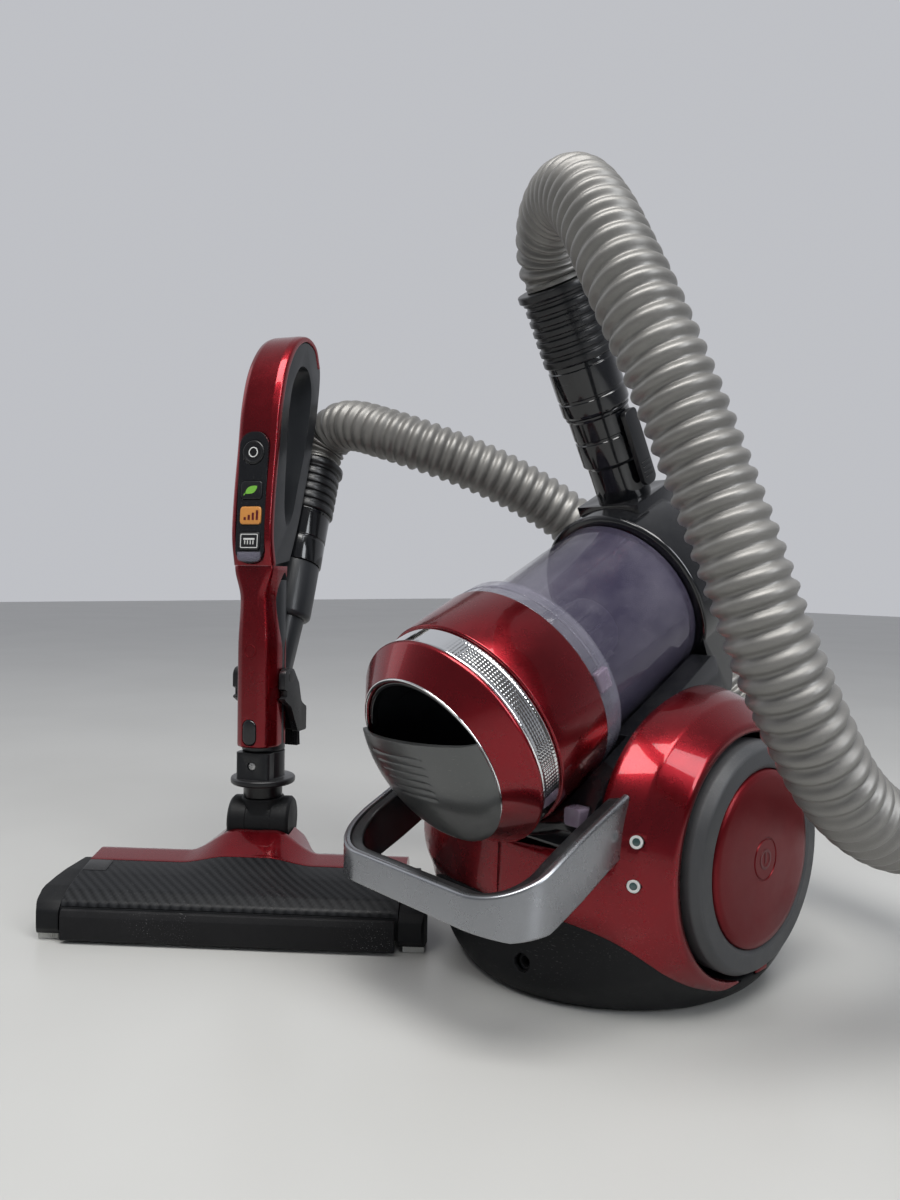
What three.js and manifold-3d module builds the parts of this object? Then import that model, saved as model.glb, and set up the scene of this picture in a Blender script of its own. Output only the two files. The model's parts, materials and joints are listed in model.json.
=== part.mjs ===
// Canister vacuum cleaner: canister on its parking face, hose, handle and powered floor head.
// Millimetres, +Z up. The canister's cup faces -Y, its wheels turn about X.
import * as THREE from 'three';
import { mergeVertices } from 'three/addons/utils/BufferGeometryUtils.js';
import Module from 'manifold-3d';

const wasm = await Module();
wasm.setup();

// ---------------------------------------------------------------- driving dimensions
const GAP = 0.3;                       // clearance between pieces that touch
const WALL = 3;                        // casing wall

const AXLE_HEIGHT = 83.4;              // wheel axle above the parking face
const HALF_WIDTH = 100;                // half the casing width, at the wheel arch crease
const ARCH_RADIUS = 76;                // wheel arch crease
const WELL_RADIUS = 70.5;              // wheel arch opening
const WELL_FLOOR = 82;                 // half distance between the wheel well floors
const REAR = 50;                       // casing face that is underneath in use
const TYRE_RADIUS = 67;
const TYRE_INNER = 51.5;
const TYRE_HALF = [84.5, 107.5];       // tyre, from its inner to its outer face
const CRADLE_HALF = 64;                // half width of the black cradle under the cup

const CUP_TILT = THREE.MathUtils.degToRad(116.9);   // cup axis, turned about X from +Z
const CUP_BASE = new THREE.Vector3(0, 3, 225.2);    // centre of the cup's inner end
const CUP_RADIUS = 56;
const CUP_LENGTH = 88;
const FLANGE_RADIUS = 63.3;
const CASE = { start: 108.6, end: 150, radius: 64.7 };
const RING = { start: 150.3, end: 165.3, radius: 63.3 };
const CAP = { start: 165.6, end: 182.3, radius: 64.5, rim: 50.2 };
const FLAP_EDGE = 17;                  // upper edge of the grey flap, above the cup axis

const COUPLING_TILT = THREE.MathUtils.degToRad(30.6);
const COUPLING_BASE = new THREE.Vector3(0, 6.2, 295.6);
const COUPLING_LENGTH = 142;

const HOSE_RADIUS = 21;
const HOSE_STEPS = 60;
const HOSE_SIDES = 10;

const WAND_BASE = new THREE.Vector3(-214.3, -135.4, 0);
const HANDLE_TURN = THREE.MathUtils.degToRad(30);   // handle faces 15 degrees off the head
const HEAD_TURN = THREE.MathUtils.degToRad(45);
const NECK_BACK = 28;                  // wand axis behind the middle of the head
const PIPE_RADIUS = 15.5;
const GRIP_HALF = 13;                  // half width of the hand grip's core
const COVER_HALF = 16;                 // half width of the red grip cover
const HEAD_HALF = 128;                 // half width of the floor head

// ---------------------------------------------------------------- finishes
function finish(color, roughness, metalness = 0) {
  return { color, roughness, metalness };
}
const RED = finish(0x9e1420, 0.25, 0.4);
const GLOSS_BLACK = finish(0x14161a, 0.2);
const CHARCOAL = finish(0x2c2d2f, 0.45);
const SILVER = finish(0x8b9094, 0.3, 0.7);
const CHROME = finish(0xd6d9dc, 0.08, 1);
const RUBBER = finish(0x3c3f42, 0.75);
const SMOKE = finish(0x5a5670, 0.1);
const GREY = finish(0x5c6162, 0.4, 0.2);
const DARK_GREY = finish(0x3a3d40, 0.45);
const HOSE_GREY = finish(0x8c8a7d, 0.4, 0.5);

// ---------------------------------------------------------------- solid helpers
function signedVolume(position, index) {
  const [a, b, c] = [new THREE.Vector3(), new THREE.Vector3(), new THREE.Vector3()];
  let volume = 0;
  for (let i = 0; i < index.length; i += 3) {
    a.fromBufferAttribute(position, index[i]);
    b.fromBufferAttribute(position, index[i + 1]);
    c.fromBufferAttribute(position, index[i + 2]);
    volume += a.dot(b.cross(c));
  }
  return volume;
}

// A closed indexed geometry as a solid, with its faces turned outwards.
function indexedSolid(geometry) {
  const { position } = geometry.attributes;
  const triVerts = Uint32Array.from(geometry.index.array);
  if (signedVolume(position, triVerts) < 0) {
    for (let i = 0; i < triVerts.length; i += 3) {
      [triVerts[i], triVerts[i + 1]] = [triVerts[i + 1], triVerts[i]];
    }
  }
  const vertProperties = Float32Array.from(position.array);
  return new wasm.Manifold(new wasm.Mesh({ numProp: 3, vertProperties, triVerts }));
}

// Any closed geometry as a solid: its shared corners are merged first.
function solid(geometry) {
  const plain = geometry.clone();
  plain.deleteAttribute('normal');
  plain.deleteAttribute('uv');
  return indexedSolid(mergeVertices(plain, 1e-3));
}

function geometryOf(body) {
  const mesh = body.getMesh();
  const geometry = new THREE.BufferGeometry();
  geometry.setAttribute('position', new THREE.BufferAttribute(Float32Array.from(mesh.vertProperties), 3));
  geometry.setIndex(new THREE.BufferAttribute(Uint32Array.from(mesh.triVerts), 1));
  geometry.computeVertexNormals();
  return geometry;
}

function join(first, ...others) {
  return others.reduce((sum, other) => sum.add(other), first);
}

function cut(first, ...others) {
  return others.reduce((rest, other) => rest.subtract(other), first);
}

function box(x0, x1, y0, y1, z0, z1) {
  const geometry = new THREE.BoxGeometry(x1 - x0, y1 - y0, z1 - z0);
  return solid(geometry.translate((x0 + x1) / 2, (y0 + y1) / 2, (z0 + z1) / 2));
}

// A profile of [radius, height] points turned about Z.
function revolve(profile, segments = 40) {
  const points = profile.map(([r, h]) => new THREE.Vector2(r, h));
  const first = points[0];
  if (first.x > 0) points.push(first.clone());
  return solid(new THREE.LatheGeometry(points, segments).rotateX(Math.PI / 2));
}

function cylinder(radius, z0, z1, segments = 40) {
  return revolve([[0, z0], [radius, z0], [radius, z1], [0, z1]], segments);
}

function tube(outer, inner, z0, z1, segments = 40) {
  return revolve([[inner, z0], [outer, z0], [outer, z1], [inner, z1]], segments);
}

function place(body, matrix) {
  return indexedSolid(geometryOf(body).applyMatrix4(matrix));
}

function moved(body, x, y, z) {
  return place(body, new THREE.Matrix4().makeTranslation(x, y, z));
}

function turnedX(body, angle) {
  return place(body, new THREE.Matrix4().makeRotationX(angle));
}

// Turns a body made along Z so that it lies along +X.
function alongX(body) {
  return place(body, new THREE.Matrix4().makeRotationY(Math.PI / 2));
}

// Turns a body made along Z so that it lies along -Y.
function alongFront(body) {
  return turnedX(body, Math.PI / 2);
}

function shapeOf(outline) {
  return new THREE.Shape(outline.map(([u, v]) => new THREE.Vector2(u, v)));
}

// An outline of [y, z] points pulled out along X.
function prismX(outline, x0, x1) {
  const geometry = new THREE.ExtrudeGeometry(shapeOf(outline), { depth: x1 - x0, bevelEnabled: false });
  const basis = new THREE.Matrix4().makeBasis(
    new THREE.Vector3(0, 1, 0), new THREE.Vector3(0, 0, 1), new THREE.Vector3(1, 0, 0));
  return solid(geometry.applyMatrix4(basis).translate(x0, 0, 0));
}

// An outline of [x, y] points pulled up along Z.
function prismZ(outline, z0, z1) {
  const geometry = new THREE.ExtrudeGeometry(shapeOf(outline), { depth: z1 - z0, bevelEnabled: false });
  return solid(geometry.translate(0, 0, z0));
}

// A smooth curve through [u, v] points, sampled evenly.
function smooth(points, count, closed = false) {
  const curve = new THREE.CatmullRomCurve3(
    points.map(([u, v]) => new THREE.Vector3(u, v, 0)), closed, 'centripetal');
  const samples = curve.getPoints(count);
  if (closed) samples.pop();
  return samples.map((p) => [p.x, p.y]);
}

function roundedRect(halfWidth, halfHeight, radius, steps = 4) {
  const outline = [];
  const corners = [[1, 1, 0], [-1, 1, 90], [-1, -1, 180], [1, -1, 270]];
  for (const [sx, sy, start] of corners) {
    for (let i = 0; i <= steps; i += 1) {
      const angle = THREE.MathUtils.degToRad(start + (90 * i) / steps);
      outline.push([
        sx * (halfWidth - radius) + radius * Math.cos(angle),
        sy * (halfHeight - radius) + radius * Math.sin(angle)]);
    }
  }
  return outline;
}

function mirrored(body) {
  return place(body, new THREE.Matrix4().makeScale(-1, 1, 1));
}

function node(group, name, body, look) {
  const mesh = new THREE.Mesh(geometryOf(body), new THREE.MeshStandardMaterial(look));
  mesh.name = name;
  group.add(mesh);
  return mesh;
}

// ---------------------------------------------------------------- canister casing
// Casing radius about the wheel axle at angle phi, on the middle plane: 0 is the rear
// face, 90 the top, 180 the front. The corner at 220 is the front foot of the base.
const MIDDLE_RADII = [[0, 108], [60, 102], [100, 102], [150, 109], [180, 106], [200, 110], [218, 128],
  [300, 128], [360, 108]];

function middleRadius(phi) {
  const upper = MIDDLE_RADII.findIndex(([angle]) => angle >= phi);
  if (upper < 1) return MIDDLE_RADII[0][1];
  const [a0, r0] = MIDDLE_RADII[upper - 1];
  const [a1, r1] = MIDDLE_RADII[upper];
  const t = (phi - a0) / (a1 - a0);
  return r0 + (r1 - r0) * t * t * (3 - 2 * t);
}

function casingRadius(phi, x) {
  const angle = THREE.MathUtils.degToRad(phi);
  const low = THREE.MathUtils.smoothstep(phi, 185, 215);
  const swell = Math.max(0, 1 - (x / HALF_WIDTH) ** 2) ** (0.6 + 0.3 * low);
  let radius = ARCH_RADIUS + (middleRadius(phi) - ARCH_RADIUS) * swell;
  if (Math.sin(angle) < 0) radius = Math.min(radius, AXLE_HEIGHT / -Math.sin(angle));
  if (Math.cos(angle) > 0) radius = Math.min(radius, REAR / Math.cos(angle));
  return radius;
}

// The casing's outer form, drawn in by inset on every side.
function casing(inset) {
  const half = HALF_WIDTH - inset;
  const stations = [-1, -0.96, -0.87, -0.72, -0.45, 0, 0.45, 0.72, 0.87, 0.96, 1];
  const turns = 30;
  const position = [];
  const index = [];
  for (const station of stations) {
    const x = station * half;
    for (let i = 0; i < turns; i += 1) {
      const phi = (360 * i) / turns;
      const angle = THREE.MathUtils.degToRad(phi);
      const radius = casingRadius(phi, station * HALF_WIDTH);
      const y = radius * Math.cos(angle);
      const z = AXLE_HEIGHT + radius * Math.sin(angle);
      const r = Math.max(radius - inset * 1.15, 10);
      position.push(x, inset ? r * Math.cos(angle) : y, inset ? AXLE_HEIGHT + r * Math.sin(angle) : z);
    }
  }
  const last = stations.length - 1;
  for (let s = 0; s < last; s += 1) {
    for (let i = 0; i < turns; i += 1) {
      const [a, b] = [s * turns + i, s * turns + ((i + 1) % turns)];
      index.push(a, a + turns, b, b, a + turns, b + turns);
    }
  }
  for (const s of [0, last]) {
    const centre = position.length / 3;
    position.push(stations[s] * half, 0, AXLE_HEIGHT);
    for (let i = 0; i < turns; i += 1) {
      const [a, b] = [s * turns + i, s * turns + ((i + 1) % turns)];
      index.push(...(s === 0 ? [centre, a, b] : [centre, b, a]));
    }
  }
  const geometry = new THREE.BufferGeometry();
  geometry.setAttribute('position', new THREE.Float32BufferAttribute(position, 3));
  geometry.setIndex(index);
  return solid(geometry);
}

const cupMatrix = new THREE.Matrix4().makeRotationX(CUP_TILT).setPosition(CUP_BASE);

// The room that the cup and its case need, swept out forwards so that they slide free.
function cupRoom(margin) {
  const room = join(
    cylinder(CUP_RADIUS + margin, 0, CUP_LENGTH + 1),
    cylinder(FLANGE_RADIUS + margin, CUP_LENGTH, 240));
  return place(room, cupMatrix);
}

function wheelWell(radius, floor) {
  return moved(alongX(cylinder(radius, 0, HALF_WIDTH, 48)), floor, 0, AXLE_HEIGHT);
}

// Everything above the cradle's lower face, between its side walls.
const CRADLE_LINE = [[-112, 88], [60, 176]];
function cradleZone(half, raise) {
  const [[y0, z0], [y1, z1]] = CRADLE_LINE;
  return prismX([[y0 - 60, z0 + raise - 30.7], [y1, z1 + raise], [y1, 400], [y0 - 60, 400]], -half, half);
}

// The line between the charcoal base and the red covers, seen from the front.
const SEAM = smooth([[-120, -20], [-96, 18], [-84, 38], [-62, 50], [-30, 54], [0, 54], [30, 54], [62, 50],
  [84, 38], [96, 18], [120, -20]], 40);
function belowSeam(raise) {
  const outline = SEAM.map(([x, z]) => [x, z + raise]);
  outline.push([120, -60], [-120, -60]);
  const front = new THREE.ExtrudeGeometry(shapeOf(outline), { depth: 400, bevelEnabled: false });
  return solid(front.rotateX(Math.PI / 2).translate(0, 200, 0));
}

function buildCasing(group) {
  const outer = casing(0);
  const shell = cut(outer, casing(WALL));
  const wells = [wheelWell(WELL_RADIUS, WELL_FLOOR), mirrored(wheelWell(WELL_RADIUS, WELL_FLOOR))];
  const wellWall = wheelWell(WELL_RADIUS + WALL, WELL_FLOOR - WALL);
  const wellWalls = join(wellWall, mirrored(wellWall)).intersect(outer);
  const open = cut(join(shell, wellWalls), ...wells, cradleZone(CRADLE_HALF + GAP, 0));
  const rearZone = box(-150, 150, 22, 80, -10, 400);
  const axleHoles = alongX(cylinder(6.3, -150, 150, 20));
  const bored = cut(open, moved(axleHoles, 0, 0, AXLE_HEIGHT));

  const base = cut(bored.intersect(belowSeam(-GAP / 2)), rearZone);
  const outlet = moved(alongFront(cylinder(5.6, 60, 130, 20)), 18, 0, 22);
  node(group, 'base_cover', cut(base, outlet), CHARCOAL);

  const upper = cut(bored, belowSeam(GAP / 2), moved(rearZone, 0, -GAP, 0));
  const right = upper.intersect(box(GAP / 2, 150, -200, 200, -10, 400));
  const lampHoles = LAMPS.map(({ z }) => lamp(z, LAMP_RADIUS + GAP, 60, 130));
  node(group, 'side_cover_right', cut(right, ...lampHoles), RED);
  node(group, 'side_cover_left', mirrored(right), RED);

  const slots = [];
  for (let row = 0; row < 5; row += 1) {
    slots.push(box(-40, 40, 40, 60, 30 + row * 10, 34 + row * 10));
  }
  const rear = cut(bored.intersect(rearZone), ...slots);
  node(group, 'rear_cover', rear, GLOSS_BLACK);
}

// ---------------------------------------------------------------- status lamps
const LAMPS = [{ name: 'status_lamp_upper', z: 104 }, { name: 'status_lamp_lower', z: 81 }];
const LAMP_X = 84;
const LAMP_RADIUS = 4.6;

function lamp(z, radius, from, to) {
  return moved(alongFront(cylinder(radius, from, to, 20)), LAMP_X, 0, z);
}

function buildLamps(group) {
  for (const { name, z } of LAMPS) {
    node(group, name, lamp(z, LAMP_RADIUS, 76, 88.5), SILVER);
  }
}

// ---------------------------------------------------------------- cradle and inlet tower
function buildCradle(group) {
  const side = [[-104, 92.6], [25.5, 158.8], [25.5, 176], [14.5, 197.5], [-34, 168], [-88, 133],
    [-98, 119], [-104, 105]];
  const outer = prismX(side, -CRADLE_HALF, CRADLE_HALF);
  const pocket = box(47.7, 60.3, -120, -91.7, 107.7, 119.3);
  node(group, 'cup_cradle', cut(outer, cupRoom(2.5), pocket), GLOSS_BLACK);
  return box(48, 60, -106, -94, 108, 119);
}

// Inlet tower: the black ring behind the cup, the column under it and the hose platform.
const RING_RADIUS = 61.5;
const INLET = { y: 21, radius: 14 };
const CASTER = { z: 236, pocket: 20.5, rollerY: 55, rollerRadius: 12, trail: 6 };

function buildTower(group) {
  const ring = place(cylinder(RING_RADIUS, -46, -GAP, 32), cupMatrix);
  const column = prismX([[28.8, 161], [50, 171.8], [50, 262], [4, 226], [28.8, 175.5]], -56, 56);
  const platform = place(box(-24, 24, 55, 63, -56, -14), cupMatrix);
  const chamber = place(cylinder(54, -16, 5, 28), cupMatrix);
  const passage = place(moved(cylinder(INLET.radius, -44, -5, 24), 0, INLET.y, 0), cupMatrix);
  const port = place(cylinder(INLET.radius, -38, 20, 24), couplingMatrix);
  const pocket = moved(alongFront(cylinder(CASTER.pocket, -60, -36, 28)), 0, 0, CASTER.z);
  const solidTower = join(ring, column, platform).intersect(box(-90, 90, -90, REAR, 100, 330));
  node(group, 'inlet_tower', cut(solidTower, chamber, passage, port, pocket), GLOSS_BLACK);
}

// ---------------------------------------------------------------- carry handle
// A bail in front of the cup's cap: a silver outside with a black lining.
function bailOutline(half, front, corner) {
  const outline = [[half, -60]];
  for (let i = 0; i <= 6; i += 1) {
    const angle = -(Math.PI / 12) * i;
    outline.push([half - corner + corner * Math.cos(angle), front + corner + corner * Math.sin(angle)]);
  }
  const mirror = outline.map(([x, y]) => [-x, y]).reverse();
  return [...outline, ...mirror];
}

const BAIL = { half: 77, front: -177, corner: 34, silver: 6.5, thick: 11.5 };
const BAIL_SIDE = [[-70, 132], [-86, 127], [-120, 112], [-152, 96], [-168, 89.5], [-176, 86], [-180, 77],
  [-176, 68], [-166, 65], [-146, 67], [-122, 78], [-97, 91], [-70, 104]];
const BAIL_LINER = [[-70, 129], [-86, 124], [-120, 109], [-152, 93], [-180, 82], [-180, 71],
  [-150, 71], [-122, 81], [-97, 94], [-70, 107]];

function bail(inset) {
  return prismZ(bailOutline(BAIL.half - inset, BAIL.front + inset, BAIL.corner - inset), 40, 140);
}

function buildCarryHandle(group) {
  const clearOfCasing = [casing(-GAP), prismX([[-104.4, 80], [-104.4, 105], [-60, 150], [-60, 80]], -90, 90)];
  const silver = cut(bail(0), bail(BAIL.silver)).intersect(prismX(BAIL_SIDE, -90, 90));
  const black = cut(bail(BAIL.silver + GAP), bail(BAIL.thick)).intersect(prismX(BAIL_LINER, -90, 90));
  node(group, 'carry_handle', cut(silver, ...clearOfCasing), SILVER);
  node(group, 'carry_handle_lining', cut(black, ...clearOfCasing), GLOSS_BLACK);
}

// ---------------------------------------------------------------- inside the casing
const REEL = { y: -20, z: 53, x0: -73, x1: -33, flange: 45, drum: 37 };
const MOTOR = { y: -20, z: 56, x0: -26, x1: 56, radius: 38 };

function buildInside(group) {
  const housing = revolve([[12, MOTOR.x0], [26, MOTOR.x0], [MOTOR.radius, MOTOR.x0 + 10],
    [MOTOR.radius, MOTOR.x0 + 34], [30, MOTOR.x0 + 36], [30, MOTOR.x1], [6, MOTOR.x1], [6, MOTOR.x1 - 3],
    [27, MOTOR.x1 - 3], [27, MOTOR.x0 + 33], [MOTOR.radius - 2.5, MOTOR.x0 + 31],
    [MOTOR.radius - 2.5, MOTOR.x0 + 12], [24, MOTOR.x0 + 2.5], [12, MOTOR.x0 + 2.5]], 20);
  node(group, 'motor_housing', moved(alongX(housing), 0, MOTOR.y, MOTOR.z), CHARCOAL);
  node(group, 'circuit_board', box(-58, 58, 33, 34.6, 86, 136), finish(0x1f5a38, 0.5));
  node(group, 'exhaust_filter', box(-44, 44, 30, 46, 22, 82), finish(0xd9d9d2, 0.9));
  const gland = join(tube(9, 3.2, 84, 87, 16), tube(5.3, 3.2, 86.8, 101, 16));
  node(group, 'cord_gland', moved(alongFront(gland), 18, 0, 22), RUBBER);
}

function buildImpeller(group) {
  const shaft = cylinder(4, MOTOR.x0 + 16, MOTOR.x1 + 2, 16);
  const fan = cylinder(32, MOTOR.x0 + 15, MOTOR.x0 + 24, 28);
  const armature = cylinder(20, MOTOR.x0 + 38, MOTOR.x1 - 8, 20);
  const body = alongX(join(shaft, fan, armature));
  node(group, 'motor_impeller', moved(body, 0, MOTOR.y, MOTOR.z), SILVER);
}

function buildReel(group) {
  const { x0, x1, flange, drum } = REEL;
  const body = alongX(revolve([[8, x0], [flange, x0], [flange, x0 + 2], [drum, x0 + 2], [drum, x1 - 2],
    [flange, x1 - 2], [flange, x1], [8, x1]], 28));
  node(group, 'cord_reel', moved(body, 0, REEL.y, REEL.z), DARK_GREY);
}

// ---------------------------------------------------------------- wheels and caster
function buildWheel(group, side) {
  const [inner, outer] = TYRE_HALF;
  const tyre = alongX(revolve([[TYRE_INNER, inner], [62, inner], [TYRE_RADIUS, inner + 5],
    [TYRE_RADIUS, outer - 5], [63, outer], [TYRE_INNER, outer]], 32));
  const disc = alongX(revolve([[0, WELL_FLOOR - 6], [6, WELL_FLOOR - 6], [6, inner + 1.5],
    [TYRE_INNER - GAP, inner + 1.5], [TYRE_INNER - GAP, outer - 1], [49.5, outer + 1.5],
    [0, outer + 1.5]], 32));
  const turn = side === 'right' ? (body) => body : mirrored;
  node(group, `wheel_tyre_${side}`, moved(turn(tyre), 0, 0, AXLE_HEIGHT), RUBBER);
  node(group, `wheel_disc_${side}`, moved(turn(disc), 0, 0, AXLE_HEIGHT), RED);
}

function buildCaster(group) {
  const disc = moved(alongFront(cylinder(17, -41, -37, 24)), 0, 0, CASTER.z);
  const cheek = box(7, 9.5, 40, 58, CASTER.z - 11, CASTER.z + 7);
  const fork = join(disc, cheek, mirrored(cheek));
  node(group, 'caster_fork', fork, DARK_GREY);
  const roller = alongX(cylinder(CASTER.rollerRadius, -6, 6, 24));
  node(group, 'caster_roller', moved(roller, 0, CASTER.rollerY, CASTER.z - CASTER.trail + 2), RUBBER);
}

// ---------------------------------------------------------------- dust cup
// Its own frame: +Z runs out along the cup axis, +Y is the side away from the casing.
function buildCup(group) {
  const wall = 2.5;
  const shell = revolve([[0, GAP], [CUP_RADIUS, GAP], [CUP_RADIUS, CUP_LENGTH], [FLANGE_RADIUS, 93],
    [FLANGE_RADIUS, 108.3], [FLANGE_RADIUS - wall, 108.3], [FLANGE_RADIUS - wall, 94],
    [CUP_RADIUS - wall, 89], [CUP_RADIUS - wall, wall + GAP], [0, wall + GAP]], 44);
  const inlet = moved(cylinder(INLET.radius, -5, 8, 24), 0, INLET.y, 0);
  const tab = box(60.5, 65.5, 4, 16, 98, 108.3);
  node(group, 'dust_cup', join(cut(shell, inlet), tab), SMOKE);
  const core = revolve([[6, 30], [20, 30], [27, 84], [27, 92], [6, 92]], 28);
  node(group, 'cyclone_core', core, GREY);
}

function buildFilterCase(group) {
  const { start, end, radius } = CASE;
  const caseShell = revolve([[radius - 3, start], [radius, start], [radius, end], [radius - 3, end],
    [radius - 3, start + 6], [54, start + 4.5], [54, start + 1.5], [radius - 3, start + 1.5]], 44);
  node(group, 'filter_case', caseShell, RED);
  node(group, 'lock_ring', tube(RING.radius, RING.radius - 4, RING.start, RING.end, 44), CHROME);
  const cap = revolve([[48, CAP.start], [CAP.radius, CAP.start], [CAP.rim, CAP.end], [47.5, CAP.end - 0.5]], 44);
  node(group, 'cup_cap', cap, RED);
  const dome = [[0, 193.5], [20, 192.5], [35, 189.5], [45, 186], [CAP.rim - 0.5, CAP.end + GAP]];
  const inner = dome.map(([r, h]) => [Math.max(0, r - 3), h - 3]);
  inner[inner.length - 1][1] = CAP.end + GAP;
  const half = box(-60, 60, -60, FLAP_EDGE, 160, 230);
  const flap = revolve([...dome, ...inner.reverse()], 36);
  node(group, 'cup_grip', flap.intersect(half), GREY);
  const bowl = revolve([[0, 160], [44, 160], [47.2, 166], [47.2, CAP.end - 1], [44.5, CAP.end - 1],
    [44.5, 168], [42, 163], [0, 163]], 36);
  node(group, 'grip_recess', bowl, GLOSS_BLACK);
}

function buildPleatedFilter(group) {
  const folds = 18;
  const outline = [];
  for (let i = 0; i < folds * 2; i += 1) {
    const angle = (Math.PI * i) / folds;
    const radius = i % 2 ? 50 : 43;
    outline.push([radius * Math.cos(angle), radius * Math.sin(angle)]);
  }
  const body = cut(prismZ(outline, 116, 146), cylinder(30, 100, 160, 18));
  node(group, 'pleated_filter', body, finish(0xdeded8, 0.9));
}

// ---------------------------------------------------------------- hose coupling
const couplingMatrix = new THREE.Matrix4().makeRotationX(COUPLING_TILT).setPosition(COUPLING_BASE);
const LEVER = { x0: 20.4, x1: 25, half: 6.5, z0: 8, z1: 58 };

function buildCoupling(group) {
  const body = revolve([[14, -6], [17.3, -6], [17.3, 26], [19.5, 28], [19.5, 60], [20.5, 62], [14, 62]], 32);
  const shoulder = box(16, 20, -5, 5, 28, 36);
  const platform = place(box(-60, 60, 40, 63 + GAP, -80, 20),
    new THREE.Matrix4().copy(couplingMatrix).invert().multiply(cupMatrix));
  node(group, 'hose_coupling', cut(join(body, shoulder), platform), GLOSS_BLACK);
}

function buildLever(group) {
  const { x0, x1, half, z0, z1 } = LEVER;
  node(group, 'coupling_lever', box(x0, x1, -half, half, z0, z1), GLOSS_BLACK);
}

// A cuff with a flange at the hose end.
function cuffProfile(bore, radius, from, to) {
  return [[bore, from], [radius, from], [radius, to - 5], [radius + 1.8, to - 4], [radius + 1.8, to], [bore, to]];
}

function buildSwivel(group) {
  const collar = revolve([[14, 62.3], [21, 62.3], [21.6, 64], [21.6, 95.7], [14, 95.7]], 32);
  node(group, 'swivel_collar', collar, GLOSS_BLACK);
  node(group, 'hose_cuff_canister', revolve(cuffProfile(14, 22.6, 96, COUPLING_LENGTH), 24), GLOSS_BLACK);
}

// ---------------------------------------------------------------- hose
// The route of the hose's middle line, from the canister's cuff to the handle's cuff.
const HOSE_ROUTE = [
  [0, -66.3, 418.3], [0, -68.9, 422.8], [3, -75.5, 433], [14, -87, 443.5], [34, -101, 447.5], [57, -115, 439],
  [79, -126, 418], [98.5, -133.5, 390], [116, -134, 358], [130, -128, 323], [143, -121, 286],
  [156, -115, 249], [167, -106, 211], [175, -91, 178], [181, -68, 147], [186, -36, 126], [192, 4, 115],
  [194, 48, 107], [182, 96, 97], [150, 136, 86], [104, 158, 80], [54, 165, 100], [8, 159, 138],
  [-30, 142, 182], [-57, 112, 228], [-76, 80, 264], [-94, 50, 291], [-115, 19, 312], [-138, -11, 328],
  [-162, -35, 340], [-188, -50, 350], [-213, -56, 357], [-233, -57, 358], [-247, -58.5, 352],
  [-253, -63.2, 341.5], [-253.2, -67, 332.5], [-252.5, -68.1, 329]];

function buildHose(group) {
  const route = new THREE.CatmullRomCurve3(HOSE_ROUTE.map((p) => new THREE.Vector3(...p)), false, 'centripetal');
  const section = new THREE.Shape();
  section.absarc(0, 0, HOSE_RADIUS, 0, Math.PI * 2);
  const points = section.getSpacedPoints(HOSE_SIDES).slice(0, -1);
  const geometry = new THREE.ExtrudeGeometry(new THREE.Shape(points), { steps: HOSE_STEPS, extrudePath: route });
  node(group, 'hose', solid(geometry), HOSE_GREY);
}

// ---------------------------------------------------------------- handle
// Its own frame: the wand axis is Z, -Y is the side with the buttons, +Y the hose side.
const DUCT_TILT = THREE.MathUtils.degToRad(-20.7);
const DUCT_BASE = new THREE.Vector3(0, 46, 251);
const ductMatrix = new THREE.Matrix4().makeRotationX(DUCT_TILT).setPosition(DUCT_BASE);
const GRIP_OUTER = [[-16, 246], [-19.5, 265], [-18, 292], [-13, 328], [-8, 362], [2, 391], [18, 411], [36, 419],
  [51, 415], [58, 401], [55, 370], [46, 336], [36, 306], [26, 280], [18, 262], [12, 250]];
const GRIP_INNER = [[4, 284], [6, 330], [9, 360], [16, 383], [28, 396], [38, 395], [44, 383], [41, 360],
  [33, 330], [23, 303], [15, 282], [8, 275]];
const PANEL_SPAN = { low: 49, high: 45 };
const PANEL = { z0: 246, z1: 342, half: 11.5 };
const BUTTONS = [
  { name: 'stop_button', z: 326, round: 8.6 },
  { name: 'eco_button', z: 299, half: 6.5 },
  { name: 'power_button', z: 281, half: 6.5 },
  { name: 'brush_button', z: 263, half: 6.5 }];
const BUTTON_HALF = 8.4;

// The grip's front edge at height z: buttons and panel sit square to it.
const PANEL_TILT = Math.atan2(6.5, 96);
const panelMatrix = new THREE.Matrix4().makeRotationX(-PANEL_TILT).setPosition(0, -17.6, 296);

function buttonBody(button, grow, y0, y1) {
  const z = button.z - 296;
  if (button.round) {
    return moved(alongFront(cylinder(button.round + grow, -y1, -y0, 24)), 0, 0, z);
  }
  return box(-BUTTON_HALF - grow, BUTTON_HALF + grow, y0, y1, z - button.half - grow, z + button.half + grow);
}

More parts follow.
